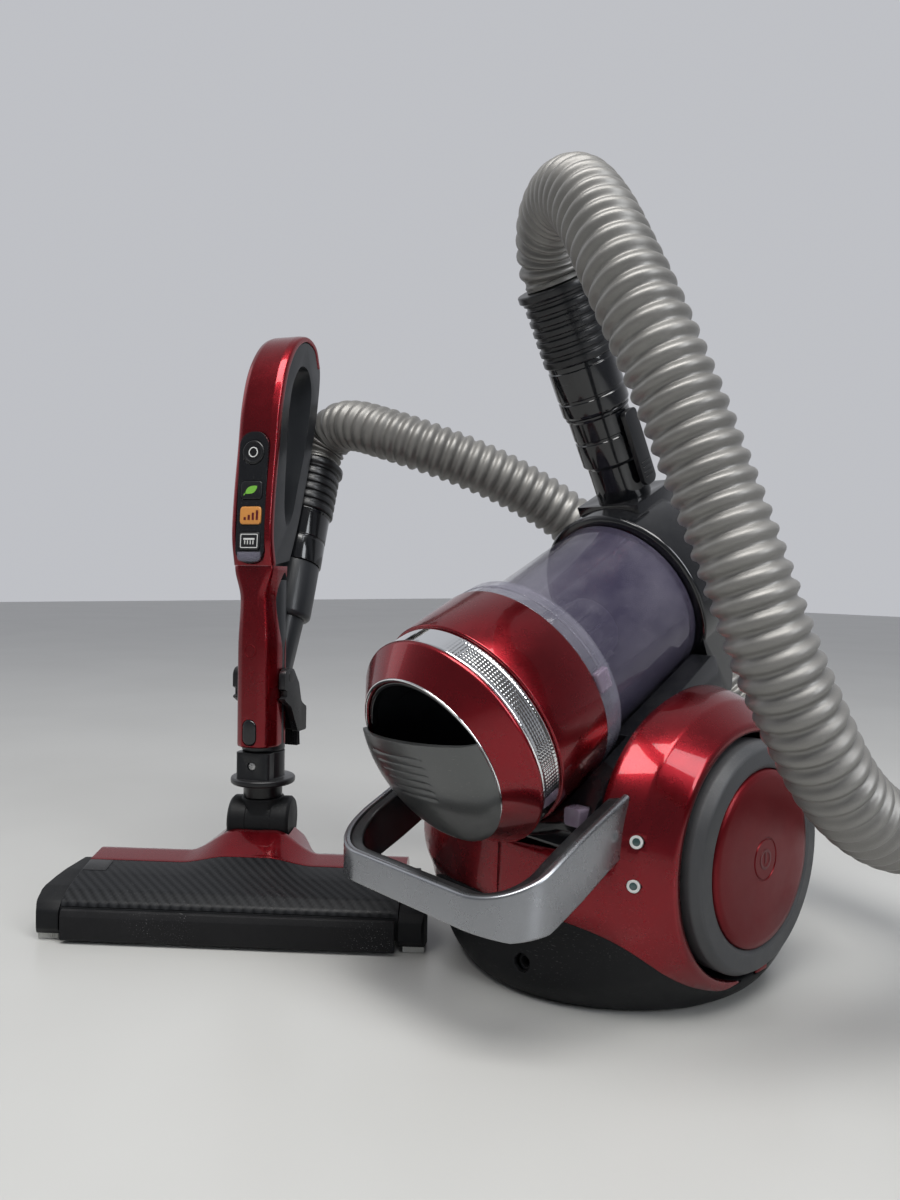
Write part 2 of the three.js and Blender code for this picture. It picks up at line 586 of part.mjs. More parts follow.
function buildGrip(group) {
  const outer = smooth(GRIP_OUTER, 40);
  const core = prismX(outer, -GRIP_HALF, GRIP_HALF).intersect(box(-60, 60, -60, 120, 246, 440));
  const hole = prismX(smooth(GRIP_INNER, 24, true), -60, 60);
  const panelRoom = place(box(-PANEL.half - 1, PANEL.half + 1, -20, 9, -58, 50), panelMatrix);
  const coverPath = smooth(GRIP_OUTER.slice(0, 10), 24);
  const ridge = coverPath.map(([y, z], i) => {
    const [y0, z0] = coverPath[Math.max(0, i - 1)];
    const [y1, z1] = coverPath[Math.min(coverPath.length - 1, i + 1)];
    const length = Math.hypot(y1 - y0, z1 - z0);
    const reach = (d) => [y + (d * (z0 - z1)) / length, z + (d * (y1 - y0)) / length];
    return { over: reach(3.4), under: reach(-3.2), skin: reach(-5.2) };
  });
  const underSkin = ridge.map(({ skin }) => skin).reverse();
  const coverOutline = [...ridge.map(({ over }) => over), ...ridge.map(({ under }) => under).reverse()];
  const rebate = prismX([...ridge.map(({ over }) => over), ...underSkin], -60, 60);
  const coreBody = cut(core, hole, rebate);
  node(group, 'grip_core', cut(coreBody, panelRoom, pipeRoom(GAP), ductRoom(GAP)), DARK_GREY);
  const cover = prismX(coverOutline, -COVER_HALF, COVER_HALF);
  const coverBox = box(-60, 60, -60, 120, 246, 440);
  node(group, 'grip_cover', cut(cover.intersect(coverBox), panelRoom), RED);
}

function buildPanel(group) {
  const plate = box(-PANEL.half, PANEL.half, -3, 4, -PANEL_SPAN.low, PANEL_SPAN.high);
  const holes = BUTTONS.map((button) => buttonBody(button, GAP, -6, 1.6));
  node(group, 'control_panel', place(cut(plate, ...holes), panelMatrix), GLOSS_BLACK);
}

function buildButton(group, button) {
  const look = { eco_button: finish(0x2f5a2c, 0.4), power_button: finish(0xc4762c, 0.4) };
  node(group, button.name, place(buttonBody(button, 0, -4, 0), panelMatrix), look[button.name] ?? GLOSS_BLACK);
}

// The air duct: from the hose collar down into the wand pipe.
function ductBody(grow) {
  const duct = place(cylinder(19.5 + grow, -48, -4.3, 28), ductMatrix);
  const lower = place(revolve([[0, -112], [12 + grow, -112], [15.2 + grow, -45], [0, -45]], 24), ductMatrix);
  return join(duct, lower);
}
function ductRoom(grow) {
  return join(ductBody(grow), place(cylinder(25.4, -4.3 - GAP, 90, 24), ductMatrix));
}
function pipeRoom(grow) {
  return cylinder(PIPE_RADIUS + grow, 80, 236, 28);
}

function buildPipe(group) {
  const bore = place(cylinder(11, -104, 10, 20), ductMatrix);
  const body = join(cylinder(PIPE_RADIUS, 112, 236, 28), ductBody(0));
  const lowerBore = cylinder(12.4, 100, 158, 24);
  const pocket = moved(alongFront(cylinder(9.6, 9, 30, 20)), 0, 0, PIPE_BUTTON.z);
  node(group, 'wand_pipe', cut(body, bore, lowerBore, pocket), DARK_GREY);
}

const PIPE_BUTTON = { z: 127, half: 5.4, rise: 9.2 };
function buttonOutline(grow) {
  return roundedRect(PIPE_BUTTON.half + grow, PIPE_BUTTON.rise + grow, PIPE_BUTTON.half + grow - 0.1);
}
function pipeButton(grow, y0, y1) {
  const oval = prismZ(buttonOutline(grow), -y1, -y0);
  return moved(alongFront(oval), 0, 0, PIPE_BUTTON.z);
}

function buildPipeCover(group) {
  const section = [[-15.6, 4], [-15.6, -8], [-12, -17.5], [-6, -20.6], [6, -20.6], [12, -17.5], [15.6, -8],
    [15.6, 4]];
  const outer = prismZ(section, 116, 245.6);
  node(group, 'pipe_cover', cut(outer, pipeRoom(GAP), pipeButton(GAP, -30, -10)), RED);
  node(group, 'pipe_release_button', pipeButton(0, -21.2, -16.4), GLOSS_BLACK);
}

function buildHandleCuffs(group) {
  const collar = place(revolve([[13, -4], [20.5, -4], [20.5, 36], [21.2, 38], [13, 38]], 32), ductMatrix);
  node(group, 'hose_collar', collar, GLOSS_BLACK);
  const cuff = revolve(cuffProfile(13, 22.6, 38.3, 80), 24);
  node(group, 'hose_cuff_handle', place(cuff, ductMatrix), GLOSS_BLACK);
}

// The flip brush: two cheeks beside the pipe, and a bristle bar behind it.
const BRUSH_PIVOT = { y: 2, z: 166 };
function buildFlipBrush(group) {
  const cheek = prismX([[-8, 172], [10, 172], [26, 150], [26, 124], [4, 124], [-8, 140]], 16.4, 21.5);
  const bar = box(-21.5, 21.5, 18.5, 26, 124, 142);
  const bristles = box(-17, 17, 20, 25, 112, 124.2);
  node(group, 'flip_brush', join(cheek, mirrored(cheek), bar, bristles), GLOSS_BLACK);
}

// ---------------------------------------------------------------- neck and floor head
// Head frame: the head's length is X, -Y its front, the wand axis stands at Y = NECK_BACK.
function buildNeck(group) {
  const spigot = cylinder(11.6, 92, 126, 24);
  const block = box(-13.5, 13.5, -17, 4, 93.5, 111.6);
  const flange = cylinder(23, 88.5, 92.5, 32);
  const throat = cylinder(14, 78, 89, 24);
  node(group, 'wand_joint', join(throat, flange, spigot, cylinder(15.5, 92, 111.6, 24), block), GLOSS_BLACK);
}

const DRUM = { z: 60, radius: 17.5, half: 22.5 };
function buildDrum(group) {
  const drum = alongX(cylinder(DRUM.radius, -DRUM.half, DRUM.half, 32));
  const post = cylinder(15.5, 0, 77.7 - DRUM.z, 24);
  node(group, 'neck_drum', moved(join(drum, post), 0, 0, DRUM.z), CHARCOAL);
}

const CHAMBER = { y: -32, z: 17, radius: 15 };
const HEAD_PROFILE = [[-57, 8], [-58, 20], [-56.5, 25.5], [-48, 31], [-30, 36], [-8, 40], [6, 42], [14, 38],
  [18, 28], [18, 8]];
const HEAD_SEAM_Y = -14;

function headHull() {
  return prismX(HEAD_PROFILE, -HEAD_HALF + 18, HEAD_HALF - 18);
}

function neckMount() {
  const plan = [[-42, 6], [42, 6], [36, 30], [30, 52], [-30, 52], [-36, 30]];
  const boss = prismZ(plan, 8, 58);
  const slope = prismX([[0, 0], [0, 44], [10, 57], [26, 60], [60, 40], [60, 0]], -60, 60);
  const saddle = alongFront(prismZ([[-46, 0], [46, 0], [46, 38], [34, 42], [20, 52], [13, 58], [-13, 58],
    [-20, 52], [-34, 42], [-46, 38]], -60, 0));
  return boss.intersect(slope).intersect(saddle);
}

function drumRoom(grow) {
  const room = moved(alongX(cylinder(DRUM.radius + grow, -DRUM.half - grow, DRUM.half + grow, 32)),
    0, NECK_BACK, DRUM.z);
  return join(room, moved(cylinder(15.5 + 4, 55, 140, 24), 0, NECK_BACK, 0),
    moved(alongX(box(-140, -DRUM.z, -16, 60, -DRUM.half - grow, DRUM.half + grow)), 0, NECK_BACK, 0));
}

function buildHead(group) {
  const full = join(headHull(), neckMount());
  const chamber = moved(alongX(cylinder(CHAMBER.radius + 2, -106, 106, 32)), 0, CHAMBER.y, CHAMBER.z);
  const mouth = box(-106, 106, CHAMBER.y - 14, CHAMBER.y + 14, 0, 18);
  const motorRoom = box(-100, 100, -8, 13, 11, 34);
  const hollow = join(chamber, mouth);
  const lid = prismX([[-70, 22.8], [60, 22.8], [60, 90], [-70, 90]], -150, 150);
  const base = cut(full, moved(lid, 0, 0, -GAP), hollow, motorRoom, drumRoom(1));
  node(group, 'head_base', base, CHARCOAL);
  const upper = cut(full.intersect(lid), hollow, motorRoom, drumRoom(1));
  const front = box(-150, 150, -90, HEAD_SEAM_Y - GAP, 0, 100);
  node(group, 'head_front_panel', upper.intersect(front), CHARCOAL);
  node(group, 'head_cover', cut(upper, moved(front, 0, GAP, 0)), RED);
}

function buildHeadParts(group) {
  const inner = HEAD_HALF - 17.7;
  const side = prismX([[-56, 0], [-60, 8], [-60, 21], [-55, 28], [-40, 34], [-20, 38], [2, 40], [12, 36],
    [16, 26], [16, 8], [13, 0]], inner, HEAD_HALF);
  const plan = prismZ([[inner - 1, -70], [HEAD_HALF - 7, -70], [HEAD_HALF - 1.5, -56], [HEAD_HALF, -46],
    [HEAD_HALF - 2, -30], [HEAD_HALF - 12, 16], [HEAD_HALF - 14, 20], [inner - 1, 20]], 0, 60);
  const cap = side.intersect(plan);
  node(group, 'end_cap_right', cap, CHARCOAL);
  node(group, 'end_cap_left', mirrored(cap), CHARCOAL);
  const motor = moved(alongX(cylinder(9, 0, 60, 20)), -88, 2.5, 22);
  node(group, 'brush_motor', motor, SILVER);
  node(group, 'release_pedal', box(44, 70, 19, 40, 24, 34), GLOSS_BLACK);
}

function buildBumper(group) {
  const flap = prismX([[-58.6, 22], [-61.5, 22], [-63, 18], [-63, 3], [-60, 1.5], [-58.6, 3]], -108, 108);
  node(group, 'bumper_flap', flap, RUBBER);
}

function buildBrushRoll(group) {
  const star = [];
  for (let i = 0; i < 12; i += 1) {
    const angle = (Math.PI * i) / 6;
    const radius = i % 2 ? 9 : CHAMBER.radius;
    star.push([radius * Math.cos(angle), radius * Math.sin(angle)]);
  }
  const body = alongX(prismZ(star, -104, 104));
  node(group, 'brush_roll', moved(body, 0, CHAMBER.y, CHAMBER.z), RUBBER);
}

// ---------------------------------------------------------------- assembly
function frameGroup(parent, position, turnX = 0, turnZ = 0) {
  const group = new THREE.Group();
  group.position.copy(position);
  group.rotation.set(turnX, 0, turnZ);
  parent.add(group);
  return group;
}

const canister = new THREE.Group();
buildCasing(canister);
buildLamps(canister);
buildTower(canister);
const releaseButton = buildCradle(canister);
node(canister, 'cup_release_button', releaseButton, SMOKE);
buildCarryHandle(canister);
buildInside(canister);
buildImpeller(canister);
buildReel(canister);
buildWheel(canister, 'left');
buildWheel(canister, 'right');
buildCaster(canister);

const cup = frameGroup(canister, CUP_BASE, CUP_TILT);
buildCup(cup);
buildFilterCase(cup);
buildPleatedFilter(cup);

const coupling = frameGroup(canister, COUPLING_BASE, COUPLING_TILT);
buildCoupling(coupling);
buildLever(coupling);
buildSwivel(coupling);

const vacuum = new THREE.Group();
vacuum.add(canister);

const handle = frameGroup(vacuum, WAND_BASE, 0, HANDLE_TURN);
buildGrip(handle);
buildPanel(handle);
BUTTONS.forEach((button) => buildButton(handle, button));
buildPipe(handle);
buildPipeCover(handle);
buildHandleCuffs(handle);
buildFlipBrush(handle);
buildNeck(handle);

const headOrigin = new THREE.Vector3(0, -NECK_BACK, 0).applyAxisAngle(new THREE.Vector3(0, 0, 1), HEAD_TURN);
const head = frameGroup(vacuum, headOrigin.add(WAND_BASE), 0, HEAD_TURN);
const drum = frameGroup(head, new THREE.Vector3(0, NECK_BACK, 0));
buildDrum(drum);
buildHead(head);
buildHeadParts(head);
buildBumper(head);
buildBrushRoll(head);

// The origin is under the middle of everything but the hose, on the floor.
const bounds = new THREE.Box3().setFromObject(vacuum, true);
vacuum.position.set(-(bounds.min.x + bounds.max.x) / 2, -(bounds.min.y + bounds.max.y) / 2, -bounds.min.z);
buildHose(vacuum);

export default vacuum;
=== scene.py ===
# Canister vacuum cleaner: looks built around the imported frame.
# Local shapes are in millimetres, in the frame of the assembly that they belong to.
import json
import math

import bpy
import bmesh
import numpy as np
from mathutils import Matrix, Vector


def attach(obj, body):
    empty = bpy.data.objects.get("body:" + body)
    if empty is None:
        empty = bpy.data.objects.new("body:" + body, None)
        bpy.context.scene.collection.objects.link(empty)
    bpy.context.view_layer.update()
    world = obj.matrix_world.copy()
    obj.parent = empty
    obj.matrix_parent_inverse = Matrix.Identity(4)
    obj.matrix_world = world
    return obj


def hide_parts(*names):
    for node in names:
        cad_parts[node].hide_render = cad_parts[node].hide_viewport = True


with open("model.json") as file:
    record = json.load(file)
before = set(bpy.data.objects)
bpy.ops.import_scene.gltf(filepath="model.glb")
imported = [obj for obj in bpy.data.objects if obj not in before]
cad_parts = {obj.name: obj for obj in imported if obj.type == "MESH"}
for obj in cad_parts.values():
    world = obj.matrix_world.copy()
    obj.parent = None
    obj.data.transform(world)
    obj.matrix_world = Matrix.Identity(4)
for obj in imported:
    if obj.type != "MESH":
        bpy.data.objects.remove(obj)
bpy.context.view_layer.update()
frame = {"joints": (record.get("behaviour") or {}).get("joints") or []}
JOINTS = {joint["name"]: joint for joint in frame["joints"]}
MM = 0.001


# ---------------------------------------------------------------- assembly frames
def local_frame(origin, x_axis, z_axis, offset=(0, 0, 0)):
    """Matrix from millimetres in a local frame to metres in the row frame."""
    z = Vector(z_axis).normalized()
    x = (Vector(x_axis) - Vector(x_axis).dot(z) * z).normalized()
    turn = Matrix((x, z.cross(x), z)).transposed()
    start = Vector(origin) + turn @ (Vector(offset) * MM)
    return Matrix.Translation(start) @ turn.to_4x4() @ Matrix.Scale(MM, 4)


def joint_place(name):
    return Vector(JOINTS[name]["pos_m"])


def joint_axis(name):
    return Vector(JOINTS[name]["axis"])


X, Y, Z = Vector((1, 0, 0)), Vector((0, 1, 0)), Vector((0, 0, 1))
AXLE = (joint_place("wheel_left_spin") + joint_place("wheel_right_spin")) / 2
AXLE_HEIGHT = AXLE.z / MM
CANISTER = local_frame((AXLE.x, AXLE.y, 0), X, Z)
CUP = local_frame(joint_place("filter_unit_turn"), X, joint_axis("filter_unit_turn"), (0, 0, -130))
COUPLING = local_frame(joint_place("hose_swivel_canister"), X, joint_axis("hose_swivel_canister"),
                       (0, 0, -80))
WAND = joint_place("head_swivel")
HANDLE_X = joint_axis("tip_brush_swing")
HANDLE = local_frame((WAND.x, WAND.y, 0), HANDLE_X, Z)
DUCT = local_frame(joint_place("hose_swivel_handle"), HANDLE_X, joint_axis("hose_swivel_handle"), (0, 0, -60))
HEAD_X = joint_axis("brush_spin")
HEAD = local_frame((joint_place("brush_spin").x, joint_place("brush_spin").y, 0), HEAD_X, Z, (0, 32, 0))
NECK = local_frame(joint_place("head_tilt"), HEAD_X, Z)


# ---------------------------------------------------------------- camera
CAMERA_TURN = math.radians(42.1)


def place_camera():
    """The camera stands before the canister's right front corner, at the height of its cup."""
    pitch, roll = math.radians(1.7), math.radians(1.0)
    level = Vector((-math.cos(CAMERA_TURN), math.sin(CAMERA_TURN), 0))
    forward = level * math.cos(pitch) - Z * math.sin(pitch)
    right = forward.cross(Z).normalized()
    up = right.cross(forward)
    tilted_right = right * math.cos(roll) + up * math.sin(roll)
    tilted_up = tilted_right.cross(forward)
    camera_data = bpy.data.cameras.new("camera")
    camera_data.lens = 27
    camera_data.sensor_width = 36
    camera_data.clip_start = 0.01
    camera = bpy.data.objects.new("camera", camera_data)
    basis = Matrix((tilted_right, tilted_up, -forward)).transposed().to_4x4()
    place = CANISTER @ Vector((363.7, -475.7, 243))
    camera.matrix_world = Matrix.Translation(place) @ basis
    bpy.context.scene.collection.objects.link(camera)
    bpy.context.scene.camera = camera


place_camera()


# ---------------------------------------------------------------- shape helpers
def smoothstep(value, low, high):
    t = np.clip((np.asarray(value, float) - low) / (high - low), 0, 1)
    return t * t * (3 - 2 * t)


def corners(x0, x1, y0, y1):
    """The corner points of a rectangle, going round from its low corner."""
    return [(x0, y0), (x1, y0), (x1, y1), (x0, y1)]


def fillet(points, radius, steps=4, closed=True):
    """An outline with round corners. radius is one number, or one for each corner."""
    points = [np.array(p, float) for p in points]
    count = len(points)
    radii = [radius] * count if np.isscalar(radius) else list(radius)
    result = []
    for i, corner in enumerate(points):
        if (not closed and i in (0, count - 1)) or radii[i] <= 0:
            result.append(corner)
            continue
        before, after = points[i - 1] - corner, points[(i + 1) % count] - corner
        la, lb = np.linalg.norm(before), np.linalg.norm(after)
        a, b = before / la, after / lb
        half = math.acos(np.clip(a @ b, -1, 1)) / 2
        if half > math.radians(88):
            result.append(corner)
            continue
        cut = min(radii[i] / math.tan(half), la * 0.48, lb * 0.48)
        r = cut * math.tan(half)
        centre = corner + (a + b) / np.linalg.norm(a + b) * r / math.sin(half)
        start, end = corner + a * cut - centre, corner + b * cut - centre
        sweep = math.pi - 2 * half
        for k in range(steps + 1):
            t = k / steps
            blend = (math.sin((1 - t) * sweep) * start + math.sin(t * sweep) * end) / math.sin(sweep)
            result.append(centre + blend)
    return [tuple(p) for p in result]


def smooth_line(points, count, closed=False):
    """Points evenly spaced on a smooth curve through the given ones."""
    p = np.array(points, float)
    if closed:
        p = np.vstack([p[-1], p, p[0], p[1]])
    else:
        p = np.vstack([2 * p[0] - p[1], p, 2 * p[-1] - p[-2]])
    knots = np.concatenate([[0], np.cumsum(np.linalg.norm(np.diff(p, axis=0), axis=1) ** 0.5)])
    dense = []
    for i in range(1, len(p) - 2):
        t0, t1, t2, t3 = knots[i - 1:i + 3]
        t = np.linspace(t1, t2, 24, endpoint=False)[:, None]
        a1 = (t1 - t) / (t1 - t0) * p[i - 1] + (t - t0) / (t1 - t0) * p[i]
        a2 = (t2 - t) / (t2 - t1) * p[i] + (t - t1) / (t2 - t1) * p[i + 1]
        a3 = (t3 - t) / (t3 - t2) * p[i + 1] + (t - t2) / (t3 - t2) * p[i + 2]
        b1 = (t2 - t) / (t2 - t0) * a1 + (t - t0) / (t2 - t0) * a2
        b2 = (t3 - t) / (t3 - t1) * a2 + (t - t1) / (t3 - t1) * a3
        dense.append((t2 - t) / (t2 - t1) * b1 + (t - t1) / (t2 - t1) * b2)
    dense = np.vstack(dense + [p[-2][None]])
    along = np.concatenate([[0], np.cumsum(np.linalg.norm(np.diff(dense, axis=0), axis=1))])
    targets = np.linspace(0, along[-1], count, endpoint=not closed)
    return np.stack([np.interp(targets, along, dense[:, k]) for k in range(dense.shape[1])], 1)


def loft(rings, ring_closed=True, loop=False, caps=True):
    """Vertices and faces of a skin over rings of equal length."""
    rings = [np.asarray(r, float) for r in rings]
    sides, count = len(rings[0]), len(rings)
    verts = np.vstack(rings)
    faces = []
    for i in range(count if loop else count - 1):
        a, b = i * sides, ((i + 1) % count) * sides
        for j in range(sides if ring_closed else sides - 1):
            k = (j + 1) % sides
            faces.append((a + j, a + k, b + k, b + j))
    if caps and not loop and ring_closed:
        faces.append(tuple(range(sides))[::-1])
        faces.append(tuple(range((count - 1) * sides, count * sides)))
    return verts, faces


def lathe(profile, segments=96, closed=True):
    """A profile of (radius, height) turned about Z. closed means that it is a closed ring."""
    angles = np.linspace(0, 2 * math.pi, segments, endpoint=False)
    p = np.array(profile, float)
    rings = [np.stack([p[:, 0] * math.cos(a), p[:, 0] * math.sin(a), p[:, 1]], 1) for a in angles]
    return loft(rings, ring_closed=closed, loop=True, caps=False)


def prism(outline, low, high, axis="z"):
    """An outline extruded along an axis. For x it is drawn in (y, z), for y in (x, z)."""
    o = np.array(outline, float)
    flat = np.zeros(len(o))
    rings = []
    for level in (low, high):
        w = flat + level
        order = {"z": (o[:, 0], o[:, 1], w), "x": (w, o[:, 0], o[:, 1]), "y": (o[:, 0], w, o[:, 1])}[axis]
        rings.append(np.stack(order, 1))
    return loft(rings)


def block(x0, x1, y0, y1, z0, z1):
    return prism(corners(x0, x1, y0, y1), z0, z1)


def tuft(x, y, low, high, low_half, high_half):
    """A thin upright tuft between two heights, with its half widths in x and y at each end."""
    rings = []
    for z, (w, d) in ((low, low_half), (high, high_half)):
        rings.append([(x - w, y - d, z), (x + w, y - d, z), (x + w, y + d, z), (x - w, y + d, z)])
    return loft(rings)


def joined(*shapes):
    verts, faces, base = [], [], 0
    for v, f in shapes:
        verts.append(np.asarray(v, float))
        faces += [tuple(i + base for i in face) for face in f]
        base += len(v)
    return np.vstack(verts), faces


def moved(shape, x=0, y=0, z=0):
    return shape[0] + np.array([x, y, z], float), shape[1]


def mirrored(shape):
    return shape[0] * np.array([-1, 1, 1]), [f[::-1] for f in shape[1]]


def turned(shape, matrix):
    m = np.array(matrix)
    return shape[0] @ m[:3, :3].T + m[:3, 3], shape[1]


def along_x(shape):
    """Turns a shape drawn about Z to lie about X, pointing outwards to +X."""
    v = shape[0]
    return np.stack([v[:, 2], v[:, 0], v[:, 1]], 1), shape[1]


def along_front(shape):
    """Turns a shape drawn about Z to point to -Y."""
    v = shape[0]
    return np.stack([v[:, 0], -v[:, 2], v[:, 1]], 1), shape[1]


def clip(shape, field):
    """The part of a sheet where field is positive, cut cleanly along its zero line."""
    verts = [np.array(v, float) for v in shape[0]]
    value = list(np.asarray(field(np.array(verts)), float))
    edges = set()
    for face in shape[1]:
        for i, a in enumerate(face):
            b = face[(i + 1) % len(face)]
            edges.add((min(a, b), max(a, b)))
    fixed = set()
    for a, b in sorted(edges):
        if value[a] * value[b] < 0:
            t = value[a] / (value[a] - value[b])
            near = a if t < 0.3 else b if t > 0.7 else None
            if near is not None and near not in fixed:
                verts[near] = verts[a] + (verts[b] - verts[a]) * t
                value[near] = 0.0
                fixed.add(near)
    made, faces = {}, []

    def crossing(a, b):
        key = (min(a, b), max(a, b))
        if key not in made:
            low, high = verts[key[0]], verts[key[1]]
            t = value[key[0]] / (value[key[0]] - value[key[1]])
            for _ in range(3):
                point = low + (high - low) * t
                now = float(field(point[None])[0])
                slope = value[key[1]] - value[key[0]]
                t = min(max(t - now / slope, 0.02), 0.98)
            made[key] = len(verts)
            verts.append(low + (high - low) * t)
            value.append(0.0)
        return made[key]

    for face in shape[1]:
        signs = [value[i] for i in face]
        if max(signs) <= 0:
            continue
        if min(signs) >= 0:
            faces.append(face)
            continue
        kept = []
        for i, a in enumerate(face):
            b = face[(i + 1) % len(face)]
            if value[a] >= 0:
                kept.append(a)
            if value[a] * value[b] < 0:
                kept.append(crossing(a, b))
        if len(kept) > 2:
            faces.append(tuple(kept))
    used = sorted({i for f in faces for i in f})
    index = {old: new for new, old in enumerate(used)}
    return np.array([verts[i] for i in used]), [tuple(index[i] for i in f) for f in faces]


def boolean(operation, first, *others):
    """Closed shapes joined (UNION), cut (DIFFERENCE) or crossed (INTERSECT) as solids."""
    objects = []
    for verts, faces in (first, *others):
        mesh = bpy.data.meshes.new("solid")
        mesh.from_pydata([tuple(v) for v in verts], [], [tuple(f) for f in faces])
        work = bmesh.new()
        work.from_mesh(mesh)
        bmesh.ops.remove_doubles(work, verts=work.verts, dist=1e-4)
        bmesh.ops.recalc_face_normals(work, faces=work.faces)
        work.to_mesh(mesh)
        work.free()
        objects.append(bpy.data.objects.new("solid", mesh))
        bpy.context.scene.collection.objects.link(objects[-1])
    base = objects[0]
    for tool in objects[1:]:
        step = base.modifiers.new("step", "BOOLEAN")
        step.operation = operation
        step.solver = "EXACT"
        step.object = tool
    result = base.evaluated_get(bpy.context.evaluated_depsgraph_get()).to_mesh()
    verts = np.array([v.co[:] for v in result.vertices])
    faces = [tuple(p.vertices) for p in result.polygons]
    for obj in objects:
        mesh = obj.data
        bpy.data.objects.remove(obj)
        bpy.data.meshes.remove(mesh)
    return verts, faces


# ---------------------------------------------------------------- objects
def freeze(obj):
    """Applies the object's modifiers."""
    graph = bpy.context.evaluated_depsgraph_get()
    mesh = bpy.data.meshes.new_from_object(obj.evaluated_get(graph))
    obj.modifiers.clear()
    old = obj.data
    obj.data = mesh
    bpy.data.meshes.remove(old)


def piece(name, shape, place, body, material, slot, stands_for=(), bevel=0, steps=2, wall=0,
          angle=32, keep_normals=False, subdivide=0):
    """A named piece: a shape in a local frame, riding on a body, with its finish."""
    name = f"{name}_shape" if stands_for else name
    verts, faces = shape
    matrix = np.array(place)
    world = np.asarray(verts, float) @ matrix[:3, :3].T + matrix[:3, 3]
    mesh = bpy.data.meshes.new(name)
    mesh.from_pydata([tuple(v) for v in world], [], [tuple(f) for f in faces])
    work = bmesh.new()
    work.from_mesh(mesh)
    bmesh.ops.remove_doubles(work, verts=work.verts, dist=2e-6)
    if not keep_normals:
        bmesh.ops.recalc_face_normals(work, faces=work.faces)
    work.to_mesh(mesh)
    work.free()
    obj = bpy.data.objects.new(name, mesh)
    bpy.context.scene.collection.objects.link(obj)
    if wall:
        shell = obj.modifiers.new("wall", "SOLIDIFY")
        shell.thickness = wall * MM
        shell.offset = -1
    if subdivide:
        fine = obj.modifiers.new("fine", "SUBSURF")
        fine.levels = fine.render_levels = subdivide
    if bevel:
        edge = obj.modifiers.new("edge", "BEVEL")
        edge.width = bevel * MM
        edge.segments = steps
        edge.limit_method = "ANGLE"
        edge.angle_limit = math.radians(angle)
        edge.harden_normals = False
    if wall or bevel or subdivide:
        freeze(obj)
    obj.data.polygons.foreach_set("use_smooth", [True] * len(obj.data.polygons))
    obj.data.set_sharp_from_angle(angle=math.radians(angle))
    obj.data.materials.append(material)
    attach(obj, body)
    if stands_for:
        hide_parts(*stands_for)
    return obj


# ---------------------------------------------------------------- materials
class Graph:
    """A small helper around a material's node tree."""

    def __init__(self, name):
        self.material = bpy.data.materials.new(name)
        self.material.use_nodes = True
        self.tree = self.material.node_tree
        self.shader = self.tree.nodes["Principled BSDF"]
        coordinates = self.add("ShaderNodeTexCoord")
        self.place = coordinates.outputs["Object"]
        self.normal = coordinates.outputs["Normal"]

    def add(self, kind, **settings):
        node = self.tree.nodes.new(kind)
        for key, value in settings.items():
            setattr(node, key, value)
        return node

    def link(self, source, target):
        self.tree.links.new(source, target)

    def math(self, operation, a, b=0.0, clamp=False):
        node = self.add("ShaderNodeMath", operation=operation, use_clamp=clamp)
        for socket, value in zip(node.inputs, (a, b)):
            if isinstance(value, (int, float)):
                socket.default_value = value
            else:
                self.link(value, socket)
        return node.outputs[0]

    def spread(self, value, low, high, to_low=0.0, to_high=1.0):
        node = self.add("ShaderNodeMapRange")
        self.link(value, node.inputs["Value"])
        for key, number in (("From Min", low), ("From Max", high), ("To Min", to_low), ("To Max", to_high)):
            node.inputs[key].default_value = number
        return node.outputs["Result"]

    def noise(self, scale, detail=3.0, rough=0.55, place=None, stretch=None, turn=(0, 0, 0)):
        place = place or self.place
        if stretch is not None:
            mapping = self.add("ShaderNodeMapping")
            mapping.inputs["Scale"].default_value = stretch
            mapping.inputs["Rotation"].default_value = turn
            self.link(place, mapping.inputs["Vector"])
            place = mapping.outputs["Vector"]
        node = self.add("ShaderNodeTexNoise")
        node.inputs["Scale"].default_value = scale
        node.inputs["Detail"].default_value = detail
        node.inputs["Roughness"].default_value = rough
        self.link(place, node.inputs["Vector"])
        return node.outputs["Fac"]

    def mix(self, factor, a, b):
        node = self.add("ShaderNodeMix", data_type="RGBA")
        self.link(factor, node.inputs["Factor"])
        for socket, value in ((node.inputs["A"], a), (node.inputs["B"], b)):
            if isinstance(value, (tuple, list)):
                socket.default_value = (*value[:3], 1)
            else:
                self.link(value, socket)
        return node.outputs["Result"]

    def bump(self, height, strength, distance, under=None):
        node = self.add("ShaderNodeBump")
        node.inputs["Strength"].default_value = strength
        node.inputs["Distance"].default_value = distance
        self.link(height, node.inputs["Height"])
        if under is not None:
            self.link(under, node.inputs["Normal"])
        return node.outputs["Normal"]

    def scratches(self, amount, turn):
        """Sparse fine lines, from 0 to 1."""
        lines = self.noise(9, 2.0, 0.5, stretch=(6, 180, 180), turn=turn)
        patches = self.noise(14, 2.0)
        worn = self.spread(patches, 0.5, 0.72)
        fine = self.spread(lines, 0.66, 0.70)
        return self.math("MULTIPLY", self.math("MULTIPLY", fine, worn), amount)


